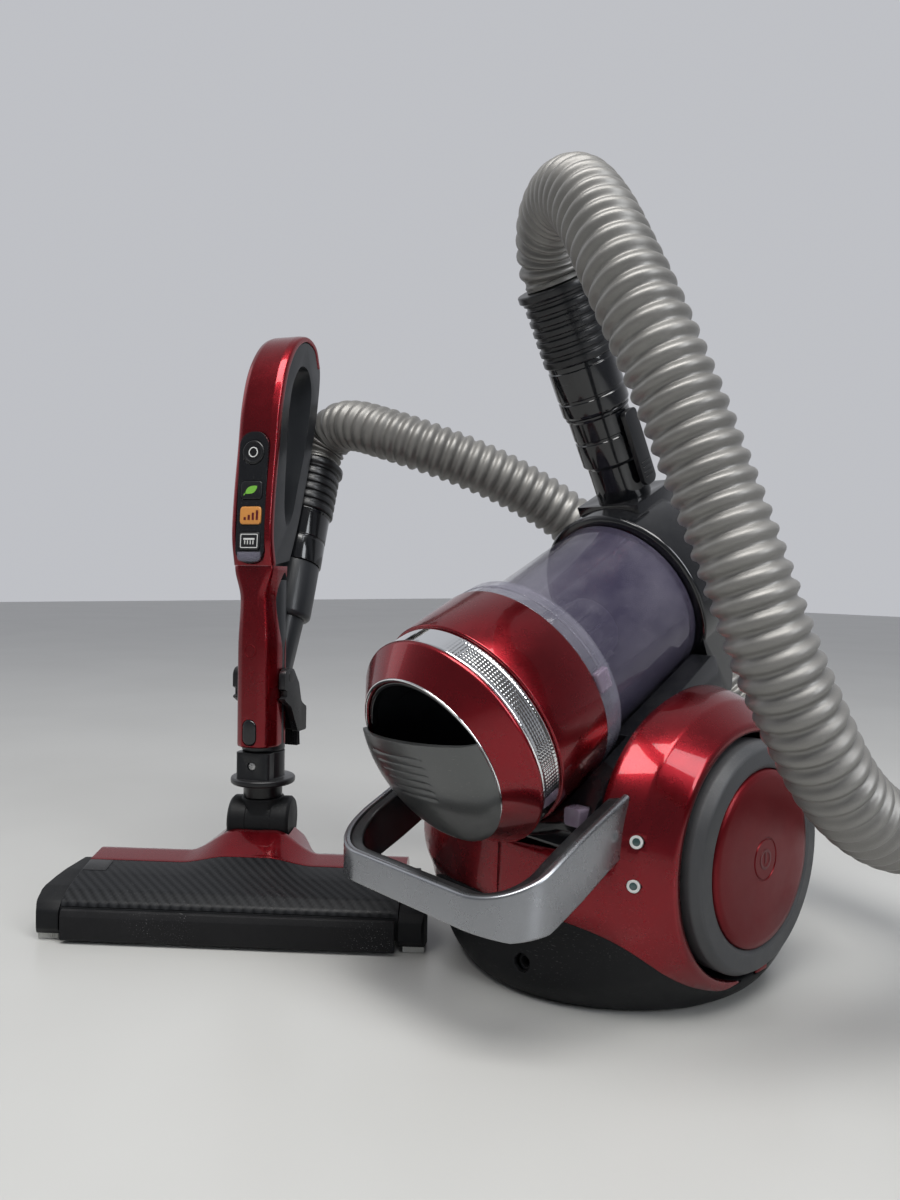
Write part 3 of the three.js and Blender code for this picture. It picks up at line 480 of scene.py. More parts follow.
def moulded(name, colour, rough, metal=0.0, coat=0.0, grain=0.0, grain_size=0.0009, vary=0.12, dust=0.0,
            scratch=0.0, flake=0.0, specular=0.5, alpha=1.0, coat_rough=0.06):
    """A moulded or painted surface: cloudy colour, uneven gloss, fine grain, wear and settled dust."""
    g = Graph(name)
    s = g.shader
    dark = tuple(c * (1 - vary) for c in colour)
    light = tuple(min(1, c * (1 + vary)) for c in colour)
    tint = g.mix(g.spread(g.noise(22, 4), 0.3, 0.7), dark, light)
    gloss = g.spread(g.noise(45, 5, 0.65), 0.25, 0.8, rough * 0.8, min(1, rough * 1.3 + 0.02))
    if flake:
        sparkle = g.spread(g.noise(5200, 1.0), 0.56, 0.72, 0.0, flake)
        tint = g.mix(sparkle, tint, tuple(min(1, c * 2.2 + 0.03) for c in colour))
    if scratch:
        lines = g.scratches(scratch, (0.4, 0.9, 0.3))
        tint = g.mix(lines, tint, tuple(c * 0.6 + 0.32 for c in colour))
        gloss = g.math("ADD", gloss, g.math("MULTIPLY", lines, 0.4), clamp=True)
    if dust:
        split = g.add("ShaderNodeSeparateXYZ")
        g.link(g.normal, split.inputs[0])
        upward = g.spread(split.outputs["Z"], 0.1, 1.0)
        specks = g.spread(g.noise(900, 2.0, 0.7), 0.58, 0.72)
        film = g.math("MULTIPLY", g.spread(g.noise(60, 4, 0.7), 0.35, 0.8), 0.55)
        cover = g.math("MULTIPLY", g.math("MULTIPLY", g.math("ADD", specks, film), upward), dust, clamp=True)
        tint = g.mix(cover, tint, (0.42, 0.41, 0.39))
        gloss = g.math("ADD", gloss, g.math("MULTIPLY", cover, 0.7), clamp=True)
    g.link(tint, s.inputs["Base Color"])
    g.link(gloss, s.inputs["Roughness"])
    s.inputs["Metallic"].default_value = metal
    s.inputs["Coat Weight"].default_value = coat
    s.inputs["Coat Roughness"].default_value = coat_rough
    s.inputs["Specular IOR Level"].default_value = specular
    s.inputs["Alpha"].default_value = alpha
    uneven = g.bump(g.noise(30, 2), 0.05, 0.0006)
    if grain:
        uneven = g.bump(g.noise(1 / grain_size, 2.0, 0.6), grain, 0.00025, uneven)
    g.link(uneven, s.inputs["Normal"])
    return g.material


def weave_material():
    """Charcoal plastic with a moulded diagonal weave, in the floor head's own directions."""
    g = Graph("woven_charcoal")
    turn = math.atan2(HEAD_X.y, HEAD_X.x)
    mapping = g.add("ShaderNodeMapping", vector_type="POINT")
    mapping.inputs["Rotation"].default_value = (0, 0, -turn)
    g.link(g.place, mapping.inputs["Vector"])
    split = g.add("ShaderNodeSeparateXYZ")
    g.link(mapping.outputs["Vector"], split.inputs[0])
    along, across = split.outputs["X"], split.outputs["Y"]
    pitch, lean = 0.0068, 1.1
    slope = g.math("ADD", along, g.math("MULTIPLY", across, lean))
    band = g.math("FRACT", g.math("DIVIDE", g.math("ADD", slope, 10.0), pitch))
    other = g.math("FRACT", g.math("DIVIDE", g.math("ADD", g.math("SUBTRACT", along, across), 10.0),
                                   pitch / 2))
    rise = g.math("PINGPONG", band, 0.5)
    thread = g.math("PINGPONG", other, 0.5)
    pattern = g.math("ADD", g.math("MULTIPLY", rise, 1.5), g.math("MULTIPLY", thread, 0.35))
    tint = g.mix(g.spread(pattern, 0.1, 0.85), (0.006, 0.0065, 0.0075), (0.019, 0.020, 0.022))
    wear = g.scratches(0.5, (0.2, 0.1, 1.1))
    tint = g.mix(wear, tint, (0.16, 0.16, 0.16))
    g.link(tint, g.shader.inputs["Base Color"])
    g.link(g.spread(pattern, 0.0, 0.9, 0.34, 0.5), g.shader.inputs["Roughness"])
    g.shader.inputs["Specular IOR Level"].default_value = 0.2
    uneven = g.bump(pattern, 0.25, 0.0004)
    g.link(g.bump(g.noise(1500, 2), 0.15, 0.0002, uneven), g.shader.inputs["Normal"])
    return g.material


def clear_material(name, colour, alpha, rough=0.07, streaks=0.3, dust_colour=(0.5, 0.47, 0.55)):
    """Clear tinted plastic with a faint film of dust and rubbed streaks inside."""
    g = Graph(name)
    film = g.spread(g.noise(38, 5, 0.7, stretch=(1, 0.35, 0.6)), 0.35, 0.75, 0.0, streaks)
    tint = g.mix(film, colour, dust_colour)
    specks = g.spread(g.noise(1100, 2.0, 0.7), 0.64, 0.7, 0.0, 0.5)
    g.link(g.mix(specks, tint, dust_colour), g.shader.inputs["Base Color"])
    g.link(g.spread(g.noise(60, 4), 0.3, 0.8, rough, rough * 2.2), g.shader.inputs["Roughness"])
    g.shader.inputs["Alpha"].default_value = alpha
    g.shader.inputs["IOR"].default_value = 1.5
    g.shader.inputs["Coat Weight"].default_value = 0.5
    g.link(g.bump(g.noise(24, 2), 0.04, 0.0006), g.shader.inputs["Normal"])
    return g.material


RED = moulded("candy_red", (0.20, 0.0045, 0.010), 0.25, metal=0.88, coat=0.5, vary=0.10, flake=0.3,
              dust=0.025, scratch=0.12, specular=0.4, coat_rough=0.04)
DISC_RED = moulded("wheel_red", (0.15, 0.006, 0.010), 0.36, metal=0.7, coat=0.12, vary=0.10, flake=0.2,
                   dust=0.02, scratch=0.12, specular=0.2, coat_rough=0.2)
FLAT_RED = moulded("key_red", (0.11, 0.008, 0.012), 0.42, metal=0.3, coat=0.2, vary=0.10, dust=0.05)
BLACK = moulded("gloss_black", (0.006, 0.0065, 0.008), 0.13, coat=0.5, vary=0.2, dust=0.06, scratch=0.15,
                specular=0.4)
SATIN_BLACK = moulded("satin_black", (0.009, 0.0095, 0.011), 0.30, coat=0.1, vary=0.2, dust=0.08, scratch=0.2,
                      grain=0.12, specular=0.4)
CHARCOAL = moulded("charcoal", (0.008, 0.0085, 0.0095), 0.46, vary=0.15, grain=0.25, dust=0.025, scratch=0.15,
                   specular=0.18)
SILVER = moulded("silver_lacquer", (0.27, 0.278, 0.295), 0.27, metal=0.9, coat=0.35, vary=0.05, flake=0.25,
                 scratch=0.2, coat_rough=0.12)
FLAP_GREY = moulded("flap_grey", (0.108, 0.112, 0.112), 0.33, metal=0.8, coat=0.3, vary=0.06, flake=0.15,
                    scratch=0.35, coat_rough=0.15)
CHROME = moulded("bright_plate", (0.80, 0.81, 0.82), 0.05, metal=1.0, vary=0.04, scratch=0.2)
TYRE = moulded("tyre_rubber", (0.050, 0.052, 0.056), 0.46, vary=0.12, grain=0.3, dust=0.10, scratch=0.15)
RUBBER = moulded("black_rubber", (0.009, 0.009, 0.010), 0.60, vary=0.2, grain=0.35, dust=0.05, scratch=0.9,
                 specular=0.2)
GRIP_GREY = moulded("grip_grey", (0.018, 0.020, 0.023), 0.34, vary=0.10, grain=0.12, dust=0.04, coat=0.1,
                    specular=0.4)
HOSE_GREY = moulded("hose_skin", (0.205, 0.20, 0.19), 0.42, metal=0.5, coat=0.12, vary=0.08, flake=0.2,
                    dust=0.04, scratch=0.08, coat_rough=0.25, specular=0.4)
SMOKE = clear_material("smoky_clear", (0.055, 0.047, 0.095), 0.40, streaks=0.35)
RIM_CLEAR = clear_material("rim_clear", (0.26, 0.255, 0.33), 0.34, streaks=0.45)
LENS = clear_material("button_clear", (0.34, 0.26, 0.36), 0.55)
CORE_GREY = moulded("core_grey", (0.06, 0.055, 0.075), 0.35, vary=0.2, dust=0.5)
PAPER = moulded("filter_paper", (0.66, 0.66, 0.62), 0.9, vary=0.1, grain=0.5, grain_size=0.0015, dust=0.3)
BOARD = moulded("board_green", (0.02, 0.10, 0.04), 0.4, vary=0.25, grain=0.3, grain_size=0.004)
METAL = moulded("bare_metal", (0.5, 0.5, 0.5), 0.35, metal=1.0, vary=0.1, scratch=0.6)
WHITE_INK = moulded("white_ink", (0.62, 0.63, 0.62), 0.45, vary=0.06)
GREEN_INK = moulded("green_ink", (0.16, 0.42, 0.05), 0.4, vary=0.08)
ORANGE_KEY = moulded("orange_key", (0.52, 0.22, 0.05), 0.38, vary=0.08, coat=0.4)
WEAVE = weave_material()


def lamp_material():
    g = Graph("lamp_lens")
    ring = g.spread(g.noise(300, 2), 0.2, 0.8)
    g.link(g.mix(ring, (0.02, 0.05, 0.05), (0.05, 0.10, 0.10)), g.shader.inputs["Base Color"])
    g.shader.inputs["Roughness"].default_value = 0.12
    g.shader.inputs["Coat Weight"].default_value = 0.8
    g.link(g.bump(g.noise(500, 2), 0.1, 0.0002), g.shader.inputs["Normal"])
    return g.material


LAMP = lamp_material()


# ---------------------------------------------------------------- hose
HOSE_DIAMETER = 42
# The hose's middle line in millimetres in the canister's frame, as in the CAD model.
HOSE_ROUTE = [(0, -66.3, 418.3), (0, -68.9, 422.8), (3, -75.5, 433), (14, -87, 443.5), (34, -101, 447.5),
              (57, -115, 439), (79, -126, 418), (98.5, -133.5, 390), (116, -134, 358), (130, -128, 323),
              (143, -121, 286), (156, -115, 249), (167, -106, 211), (175, -91, 178), (181, -68, 147),
              (186, -36, 126), (192, 4, 115), (194, 48, 107), (182, 96, 97), (150, 136, 86), (104, 158, 80),
              (54, 165, 100), (8, 159, 138), (-30, 142, 182), (-57, 112, 228), (-76, 80, 264), (-94, 50, 291),
              (-115, 19, 312), (-138, -11, 328), (-162, -35, 340), (-188, -50, 350), (-213, -56, 357),
              (-233, -57, 358), (-247, -58.5, 352), (-253, -63.2, 341.5), (-253.2, -67, 332.5),
              (-252.5, -68.1, 329)]


def build_hose():
    pitch, steps, sides, depth = 8.6, 10, 56, 2.6
    crest = HOSE_DIAMETER / 2 - 1.3
    line = smooth_line(HOSE_ROUTE, 1200)
    length = np.linalg.norm(np.diff(line, axis=0), axis=1).sum()
    count = int(length / pitch) * steps + 1
    line = smooth_line(HOSE_ROUTE, count)
    tangent = np.gradient(line, axis=0)
    tangent /= np.linalg.norm(tangent, axis=1)[:, None]
    side = np.zeros_like(line)
    side[0] = np.cross(tangent[0], (0, 0, 1.0))
    for i in range(1, count):
        side[i] = side[i - 1] - tangent[i] * (side[i - 1] @ tangent[i])
        side[i] /= np.linalg.norm(side[i])
    side[0] /= np.linalg.norm(side[0])
    up = np.cross(tangent, side)
    around = np.linspace(0, 2 * math.pi, sides, endpoint=False)
    rings = []
    for i in range(count):
        phase = 2 * math.pi * i / steps
        radius = crest - depth * (0.5 - 0.5 * math.cos(phase)) ** 1.4
        if i < 3 or i > count - 4:
            radius = crest - depth * 0.7
        ring = line[i] + radius * (np.cos(around)[:, None] * side[i] + np.sin(around)[:, None] * up[i])
        rings.append(ring)
    hose = piece("hose", loft(rings), CANISTER, "canister", HOSE_GREY, "hose_grey", ["hose"], angle=80)


build_hose()


# ---------------------------------------------------------------- canister casing
HALF_WIDTH = 100                     # to the wheel arch crease
ARCH_RADIUS = 76
SHOULDER = 85                        # where the wheel arch's flat band starts
WELL_RADIUS = 70.5
WELL_FLOOR = 82
REAR_FACE = 50
COVER_GAP = 0.15
# Casing radius about the wheel axle on the middle plane: 0 is the rear, 90 the top, 180 the front.
MIDDLE_RADII = [(0, 108), (60, 102), (100, 102), (150, 109), (180, 106), (200, 110), (218, 128),
                (300, 128), (360, 108)]
SEAM_POINTS = [(-120, -20), (-96, 18), (-84, 38), (-62, 50), (-30, 54), (0, 54), (30, 54), (62, 50),
               (84, 38), (96, 18), (120, -20)]
SEAM_LINE = smooth_line(SEAM_POINTS, 200)
CRADLE_HALF = 64.3
CRADLE_LINE = ((-112, 88), (60, 176))


def middle_radius(phi):
    for (a0, r0), (a1, r1) in zip(MIDDLE_RADII, MIDDLE_RADII[1:]):
        if phi <= a1:
            return r0 + (r1 - r0) * float(smoothstep(phi, a0, a1))
    return MIDDLE_RADII[-1][1]


def soft_min(a, b, reach):
    h = min(max(0.5 + 0.5 * (b - a) / reach, 0), 1)
    return b * (1 - h) + a * h - reach * h * (1 - h)


def casing_radius(phi, x):
    low = float(smoothstep(phi, 185, 215))

    def swollen(at):
        swell = max(0, 1 - (at / HALF_WIDTH) ** 2) ** (0.6 + 0.3 * low)
        return ARCH_RADIUS + (middle_radius(phi) - ARCH_RADIUS) * swell

    radius = swollen(min(x, SHOULDER))
    if x > SHOULDER:
        radius += (ARCH_RADIUS - radius) * (x - SHOULDER) / (HALF_WIDTH - SHOULDER)
    angle = math.radians(phi)
    if math.sin(angle) < -0.2:
        radius = soft_min(radius, AXLE_HEIGHT / -math.sin(angle), 5)
    if math.cos(angle) > 0.2:
        radius = soft_min(radius, REAR_FACE / math.cos(angle), 6)
    return radius


def casing_sheet():
    """The casing's outer skin from one wheel well to the other, round the arches' lips."""
    half = [(x, None) for x in np.linspace(0, SHOULDER - 1.2, 22)]
    half += [(x, None) for x in (SHOULDER, SHOULDER + 1.2, 88.5, 91, 93.5, 96, 98.2, 99.3)]
    lip = [(HALF_WIDTH - 0.1, 75.3), (HALF_WIDTH, 74.4), (HALF_WIDTH, 72.4), (HALF_WIDTH - 0.4, 71.4),
           (HALF_WIDTH - 1.4, 70.8), (HALF_WIDTH - 3, WELL_RADIUS), (92, WELL_RADIUS),
           (WELL_FLOOR + 2, WELL_RADIUS)]
    half += lip
    stations = [(-x, r) for x, r in half[:0:-1]] + half
    rings = []
    for phi in np.arange(0, 360, 1.5):
        angle = math.radians(phi)
        ring = []
        for x, fixed in stations:
            radius = fixed if fixed is not None else casing_radius(phi, abs(x))
            ring.append((x, radius * math.cos(angle), AXLE_HEIGHT + radius * math.sin(angle)))
        rings.append(ring)
    verts, faces = loft(rings, ring_closed=False, loop=True, caps=False)
    a, b, c = (verts[faces[0][i]] for i in range(3))
    outward = np.cross(b - a, c - b) @ (a - np.array([a[0], 0, AXLE_HEIGHT]))
    return (verts, [f[::-1] for f in faces]) if outward > 0 else (verts, faces)


def above_seam(points, gap):
    return points[:, 2] - np.interp(points[:, 0], SEAM_LINE[:, 0], SEAM_LINE[:, 1]) - gap


def beside_cradle(points):
    (y0, z0), (y1, z1) = CRADLE_LINE
    line = z0 + (points[:, 1] - y0) * (z1 - z0) / (y1 - y0)
    return np.maximum(np.abs(points[:, 0]) - CRADLE_HALF, line - points[:, 2])


LAMP_X = 84
LAMP_HEIGHTS = {"status_lamp_upper": 104, "status_lamp_lower": 81}
LAMP_RADIUS = 3.7
OUTLET_X, OUTLET_HEIGHT, OUTLET_RADIUS = 18, 22, 5.8
KEPT = 50.0                          # any positive value: clip keeps these points
SKIN = {"wall": 2.8, "bevel": 0.45, "angle": 40, "keep_normals": True}


def front_hole(x, height, radius):
    """A field for clip: a round hole through the front of the casing."""
    return lambda p: np.where(p[:, 1] < 0, np.hypot(p[:, 0] - x, p[:, 2] - height) - radius, KEPT)


def build_casing():
    sheet = casing_sheet()
    front = clip(sheet, lambda p: 21.7 - p[:, 1])
    rear = clip(sheet, lambda p: p[:, 1] - 22)
    upper = clip(clip(front, lambda p: above_seam(p, COVER_GAP)), beside_cradle)
    for side, sign in (("right", 1), ("left", -1)):
        cover = clip(upper, lambda p: sign * p[:, 0] - COVER_GAP)
        if side == "right":
            for height in LAMP_HEIGHTS.values():
                cover = clip(cover, front_hole(LAMP_X, height, LAMP_RADIUS))
        node = f"side_cover_{side}"
        piece(node, cover, CANISTER, "canister", RED, "candy_red", [node], **SKIN)
    base = clip(front, lambda p: -above_seam(p, -COVER_GAP))
    base = clip(base, front_hole(OUTLET_X, OUTLET_HEIGHT, OUTLET_RADIUS))
    piece("base_cover", base, CANISTER, "canister", CHARCOAL, "charcoal_plastic", ["base_cover"], **SKIN)
    for row in range(5):
        low = 30 + row * 10
        rear = clip(rear, lambda p: np.where(
            p[:, 1] > 30, np.maximum(np.abs(p[:, 0]) - 40, np.abs(p[:, 2] - low - 2) - 2), KEPT))
    rear = clip(rear, beside_cradle)
    piece("rear_cover", rear, CANISTER, "canister", SATIN_BLACK, "charcoal_plastic", ["rear_cover"], **SKIN)


def front_depth(x, height):
    """How far the casing's skin stands before the axle at one place on its front."""
    rise, depth = height - AXLE_HEIGHT, 100.0
    for _ in range(6):
        radius = casing_radius(180 - math.degrees(math.atan2(rise, depth)), x)
        depth = math.sqrt(radius ** 2 - rise ** 2)
    return depth


def build_lamps():
    for name, height in LAMP_HEIGHTS.items():
        depth = front_depth(LAMP_X, height)
        lean = (depth - front_depth(LAMP_X + 0.5, height)) * 2
        tilt = depth - front_depth(LAMP_X, height + 1)
        facing = Vector((lean, -1, tilt)).to_track_quat("Z", "Y").to_matrix().to_4x4()
        seat = Matrix.Translation((LAMP_X, -depth, height)) @ facing
        ring = lathe(fillet(corners(2.1, 3.5, -4, 0.35), 0.3), 48)
        lens = lathe([(0, -4), (2.2, -4), (2.2, -0.1), (1.6, 0.2), (0, 0.3)], 36, closed=False)
        for part, shape, look in (("ring", ring, WHITE_INK), ("lens", lens, LAMP)):
            lamp = piece(f"{name}_{part}", turned(shape, seat), CANISTER, "canister", look, "lamp_lens")
            if part == "ring":
                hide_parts(name)


def build_gland():
    flange = lathe(fillet(corners(3.2, 9, 84, 87), 0.8), 40)
    sleeve = [(3.2, 86.5), (5.2, 86.5)]
    for ring in range(3):
        at = 89 + ring * 3.2
        sleeve += [(5.2, at), (4.5, at + 0.7), (4.5, at + 1.6), (5.1, at + 2.3)]
    sleeve += [(4.8, 100.5), (3.2, 100.5)]
    shape = moved(along_front(joined(flange, lathe(fillet(sleeve, 0.3, 2), 40))), OUTLET_X, 0, OUTLET_HEIGHT)
    piece("cord_gland", shape, CANISTER, "canister", RUBBER, "tyre_rubber", ["cord_gland"])


build_casing()
build_lamps()
build_gland()


# ---------------------------------------------------------------- wheels and caster
TYRE_RADIUS, TYRE_INNER = 67, 51.5
TYRE_FACES = (84.5, 107.5)


def build_wheel(side):
    inner, outer = TYRE_FACES
    profile = fillet([(TYRE_INNER, inner), (60, inner), (TYRE_RADIUS, inner + 6), (TYRE_RADIUS, outer - 5),
                      (63.5, outer), (54, outer + 0.3), (TYRE_INNER, outer - 1.2)],
                      (1, 3, 3, 3.5, 3, 1, 0.6), 6)
    tyre = lathe(profile, 144)
    face = [(0, outer + 1.5), (11, outer + 1.5), (11.4, outer + 0.9), (12.2, outer + 0.9),
            (12.6, outer + 1.45), (34, outer + 1.3), (46, outer + 1.0), (49.8, outer + 0.5),
            (51.0, outer - 0.6)]
    disc = lathe([(0, WELL_FLOOR - 6), (6, WELL_FLOOR - 6), (6, inner + 2), (51.0, inner + 2)] + face[::-1],
                 144, closed=False)
    turn = (lambda shape: shape) if side == "right" else mirrored
    body = f"wheel_{side}"
    for name, shape, look, slot in ((f"wheel_tyre_{side}", tyre, TYRE, "tyre_rubber"),
                                    (f"wheel_disc_{side}", disc, DISC_RED, "wheel_red")):
        placed = moved(turn(along_x(shape)), 0, 0, AXLE_HEIGHT)
        piece(name, placed, CANISTER, body, look, slot, [name], angle=50)
    cap = fillet(corners(4.2, 6.0, outer + 1.2, outer + 1.75), 0.2, 2)
    mark = joined(lathe(cap, 48), block(-0.7, 0.7, -2.2, 4.2, outer + 1.2, outer + 1.75))
    piece(f"wheel_mark_{side}", moved(turn(along_x(mark)), 0, 0, AXLE_HEIGHT), CANISTER, body, FLAT_RED,
          "wheel_red")


def build_caster():
    disc = lathe(fillet(corners(0, 17, 37, 41), (0, 0.5, 1, 0), 3), 64, closed=False)
    cheek = prism(fillet([(40, 225), (49, 225), (58, 232), (58, 240), (50, 243), (40, 243)], 3), 7, 9.5, "x")
    top = moved(mirrored(turned(disc, Matrix.Rotation(math.radians(-90), 4, "X"))), 0, 0, 236)
    piece("caster_fork", joined(top, cheek, mirrored(cheek)), CANISTER, "caster", GRIP_GREY, "grip_grey",
          ["caster_fork"], bevel=0.5)
    roller = lathe(fillet(corners(0, 12, -6, 6), (0, 2, 2, 0), 5), 64, closed=False)
    piece("caster_roller", moved(along_x(roller), 0, 55, 232), CANISTER, "roller", TYRE, "tyre_rubber",
          ["caster_roller"])


for SIDE in ("left", "right"):
    build_wheel(SIDE)
build_caster()


# ---------------------------------------------------------------- dust cup
# Along the cup's axis, from the cradle's tower outwards.
CUP_RADIUS, FLANGE_RADIUS, WALL = 56, 63.3, 2.5
CASE_RADIUS, RING_RADIUS = 64.7, 63.3


def build_cup():
    shell = fillet([(0.4, 0.3), (CUP_RADIUS, 0.3), (CUP_RADIUS, 88), (60.5, 92.6), (60.5, 95),
                    (58.5, 95), (CUP_RADIUS - WALL, 89.6), (CUP_RADIUS - WALL, 2.8), (0.4, 2.8)],
                   (0, 1.5, 4, 3, 0.5, 0.5, 4, 2, 0), 5)
    piece("dust_cup", lathe(shell, 144), CUP, "cup", SMOKE, "smoky_clear", ["dust_cup"], angle=50)
    rim = fillet([(60.6, 92.8), (62.2, 92.8), (FLANGE_RADIUS, 94.2), (FLANGE_RADIUS, 108.2),
                  (FLANGE_RADIUS - WALL, 108.2), (60.6, 95)], 0.7, 4)
    hook = block(60.6, 65.4, 4, 16, 98, 108)
    ridge = lathe(fillet([(63.0, 100.6), (63.9, 100.9), (63.9, 101.9), (63.0, 102.2)], 0.3, 2), 144)
    piece("dust_cup_rim", joined(lathe(rim, 144), ridge), CUP, "cup", RIM_CLEAR, "smoky_clear", angle=50)
    piece("dust_cup_catch", hook, CUP, "cup", LENS, "smoky_clear", bevel=1.2, steps=3)
    cone = fillet([(6, 30), (20, 30), (27, 84), (27, 92), (6, 92)], (0, 3, 2, 1, 0), 4)
    fins = []
    for turn in range(14):
        fin = block(19, 25.5, -0.8, 0.8, 44, 84)
        fins.append(turned(fin, Matrix.Rotation(2 * math.pi * turn / 14, 4, "Z")))
    piece("cyclone_core", joined(lathe(cone, 72), *fins), CUP, "cup", CORE_GREY, "satin_grey",
          ["cyclone_core"])


def build_filter_case():
    shell = fillet(corners(61.7, CASE_RADIUS, 108.6, 150), (0, 1.2, 1.0, 0), 4)
    band = lathe(shell, 160)
    shelf = lathe(corners(50, 62, 112.5, 115), 96)
    piece("filter_case", joined(band, shelf), CUP, "filter_unit", RED, "candy_red", ["filter_case"], angle=40)

    sides, start, end = 720, 150.3, 165.3
    levels = np.concatenate([[start, start, start + 0.5, start + 1.6],
                             np.linspace(start + 2.4, end - 2.4, 19), [end - 1.6, end - 0.5, end, end]])
    rings = []
    for i, level in enumerate(levels):
        angles = np.linspace(0, 2 * math.pi, sides, endpoint=False)
        radius = np.full(sides, float(RING_RADIUS))
        if i in (0, len(levels) - 1):
            radius -= 4
        elif i in (1, len(levels) - 2):
            radius -= 0.6
        elif start + 2.4 <= level <= end - 2.4:
            window = smoothstep(angles, -0.45, -0.32) * (1 - smoothstep(angles, 1.15, 1.28))
            window += smoothstep(angles, 2 * math.pi - 0.45, 2 * math.pi - 0.32)
            row = 0.5 - 0.5 * math.cos(2 * math.pi * (level - start - 2.4) / 1.7)
            cells = 0.5 - 0.5 * np.cos(angles * 180)
            radius -= 0.34 * window * np.maximum(row, cells) ** 2
        rings.append(np.stack([radius * np.cos(angles), radius * np.sin(angles), np.full(sides, level)], 1))
    inner = [np.stack([59.3 * np.cos(angles), 59.3 * np.sin(angles), np.full(sides, z)], 1)
             for z in (end, start)]
    verts, faces = loft(rings + inner, loop=True, caps=False)
    piece("lock_ring", (verts, faces), CUP, "filter_unit", CHROME, "chrome_ring", ["lock_ring"], angle=60)

    cap = fillet([(48, 165.6), (64.5, 165.6), (64.5, 168.0), (50.2, 182.3), (47.8, 182.3)],
                 (0, 1.0, 5.0, 1.2, 0.5), 6)
    piece("cup_cap", lathe(cap, 160), CUP, "filter_unit", RED, "candy_red", ["cup_cap"], angle=50)
    trim = lathe(fillet([(48.6, 181.6), (50.3, 181.8), (50.3, 182.9), (48.6, 182.9)], 0.4, 3), 144)
    piece("cup_cap_trim", trim, CUP, "filter_unit", CHROME, "chrome_ring")


FLAP_DOME = [(0, 193.5), (20, 192.5), (35, 189.5), (45, 186), (49.7, 182.6)]
GROOVES = 6


def flap_edge(x):
    """Height of the flap's upper edge across the cup: a shallow curve, lowest at the left."""
    t = x / 48.0
    return 18.5 - 2.5 * t * t + 2.7 * t


def build_flap():
    line = smooth_line(FLAP_DOME, 60)
    rings = []
    for radius, height in line:
        angles = np.linspace(0, 2 * math.pi, 288, endpoint=False)
        ring = np.stack([radius * np.cos(angles), radius * np.sin(angles), np.full(288, height)], 1)
        rings.append(ring)
    verts, faces = loft(rings, caps=False)
    for i in range(GROOVES):
        reach = 25 - 1.5 * i
        bow = flap_edge(verts[:, 0]) - 9 - 5 * i
        across = 1 - smoothstep(np.abs(verts[:, 0] + 12 - 1.5 * i), reach - 5, reach)
        verts[:, 2] -= 0.8 * across * np.exp(-((verts[:, 1] - bow) / 0.75) ** 2)
    flap = clip((verts, faces), lambda p: flap_edge(p[:, 0]) - p[:, 1])
    a, b, c = (flap[0][flap[1][200][i]] for i in range(3))
    if np.cross(b - a, c - b)[2] < 0:
        flap = (flap[0], [f[::-1] for f in flap[1]])
    piece("cup_grip", flap, CUP, "filter_unit", FLAP_GREY, "satin_grey", ["cup_grip"], wall=2.6, bevel=0.7,
          steps=3, angle=45, keep_normals=True)
    bowl = fillet([(0.3, 160), (44, 160), (47.5, 166), (47.5, 181.4), (45.2, 181.4), (44.0, 178), (36, 168),
                   (22, 164.5), (0.3, 163.5)], (0, 2, 2, 0.8, 0.8, 3, 6, 8, 0), 5)
    piece("grip_recess", lathe(bowl, 144), CUP, "filter_unit", BLACK, "gloss_black", ["grip_recess"],
          angle=50)


def build_pleated_filter():
    folds, outline = 36, []
    for i in range(folds * 2):
        angle = math.pi * i / folds
        radius = 50 if i % 2 else 43
        outline.append((radius * math.cos(angle), radius * math.sin(angle)))
    star = prism(fillet(outline, 0.6, 2), 116, 146)
    piece("pleated_filter", star, CUP, "filter_unit", PAPER, "filter_paper", ["pleated_filter"])


build_cup()
build_filter_case()
build_flap()
build_pleated_filter()


# ---------------------------------------------------------------- tower and cradle
CUP_LOCAL = CANISTER.inverted() @ CUP
COUPLING_LOCAL = CANISTER.inverted() @ COUPLING
TOWER_RADIUS = 61.5
BUTTON_POCKET = (47.7, 60.3, -120, -91.7, 107.7, 119.3)


def rod(radius, low, high, segments=96):
    return lathe(corners(0, radius, low, high), segments, closed=False)


def build_tower():
    ring = lathe(fillet(corners(0, TOWER_RADIUS, -46, -0.4), (0, 9, 3, 0), 6), 128, closed=False)
    column = prism(fillet([(28.8, 161), (49.8, 171.8), (49.8, 262), (4, 226), (28.8, 175.5)], 4), -56, 56,
                   "x")
    platform = turned(block(-24, 24, 50, 63, -56, -14), CUP_LOCAL)
    solid = boolean("UNION", turned(ring, CUP_LOCAL), column, platform)
    chamber = turned(rod(54, -16, 5), CUP_LOCAL)
    passage = turned(moved(rod(14, -44, -5, 48), 0, 21, 0), CUP_LOCAL)
    port = turned(rod(14, -38, 20, 48), COUPLING_LOCAL)
    pocket = moved(along_front(rod(20.5, -60, -36, 64)), 0, 0, 236)
    behind = block(-100, 100, REAR_FACE - 0.1, 160, 0, 420)
    tower = boolean("DIFFERENCE", solid, behind, chamber, passage, port, pocket)
    piece("inlet_tower", tower, CANISTER, "canister", BLACK, "gloss_black", ["inlet_tower"], bevel=0.9,
          steps=3)


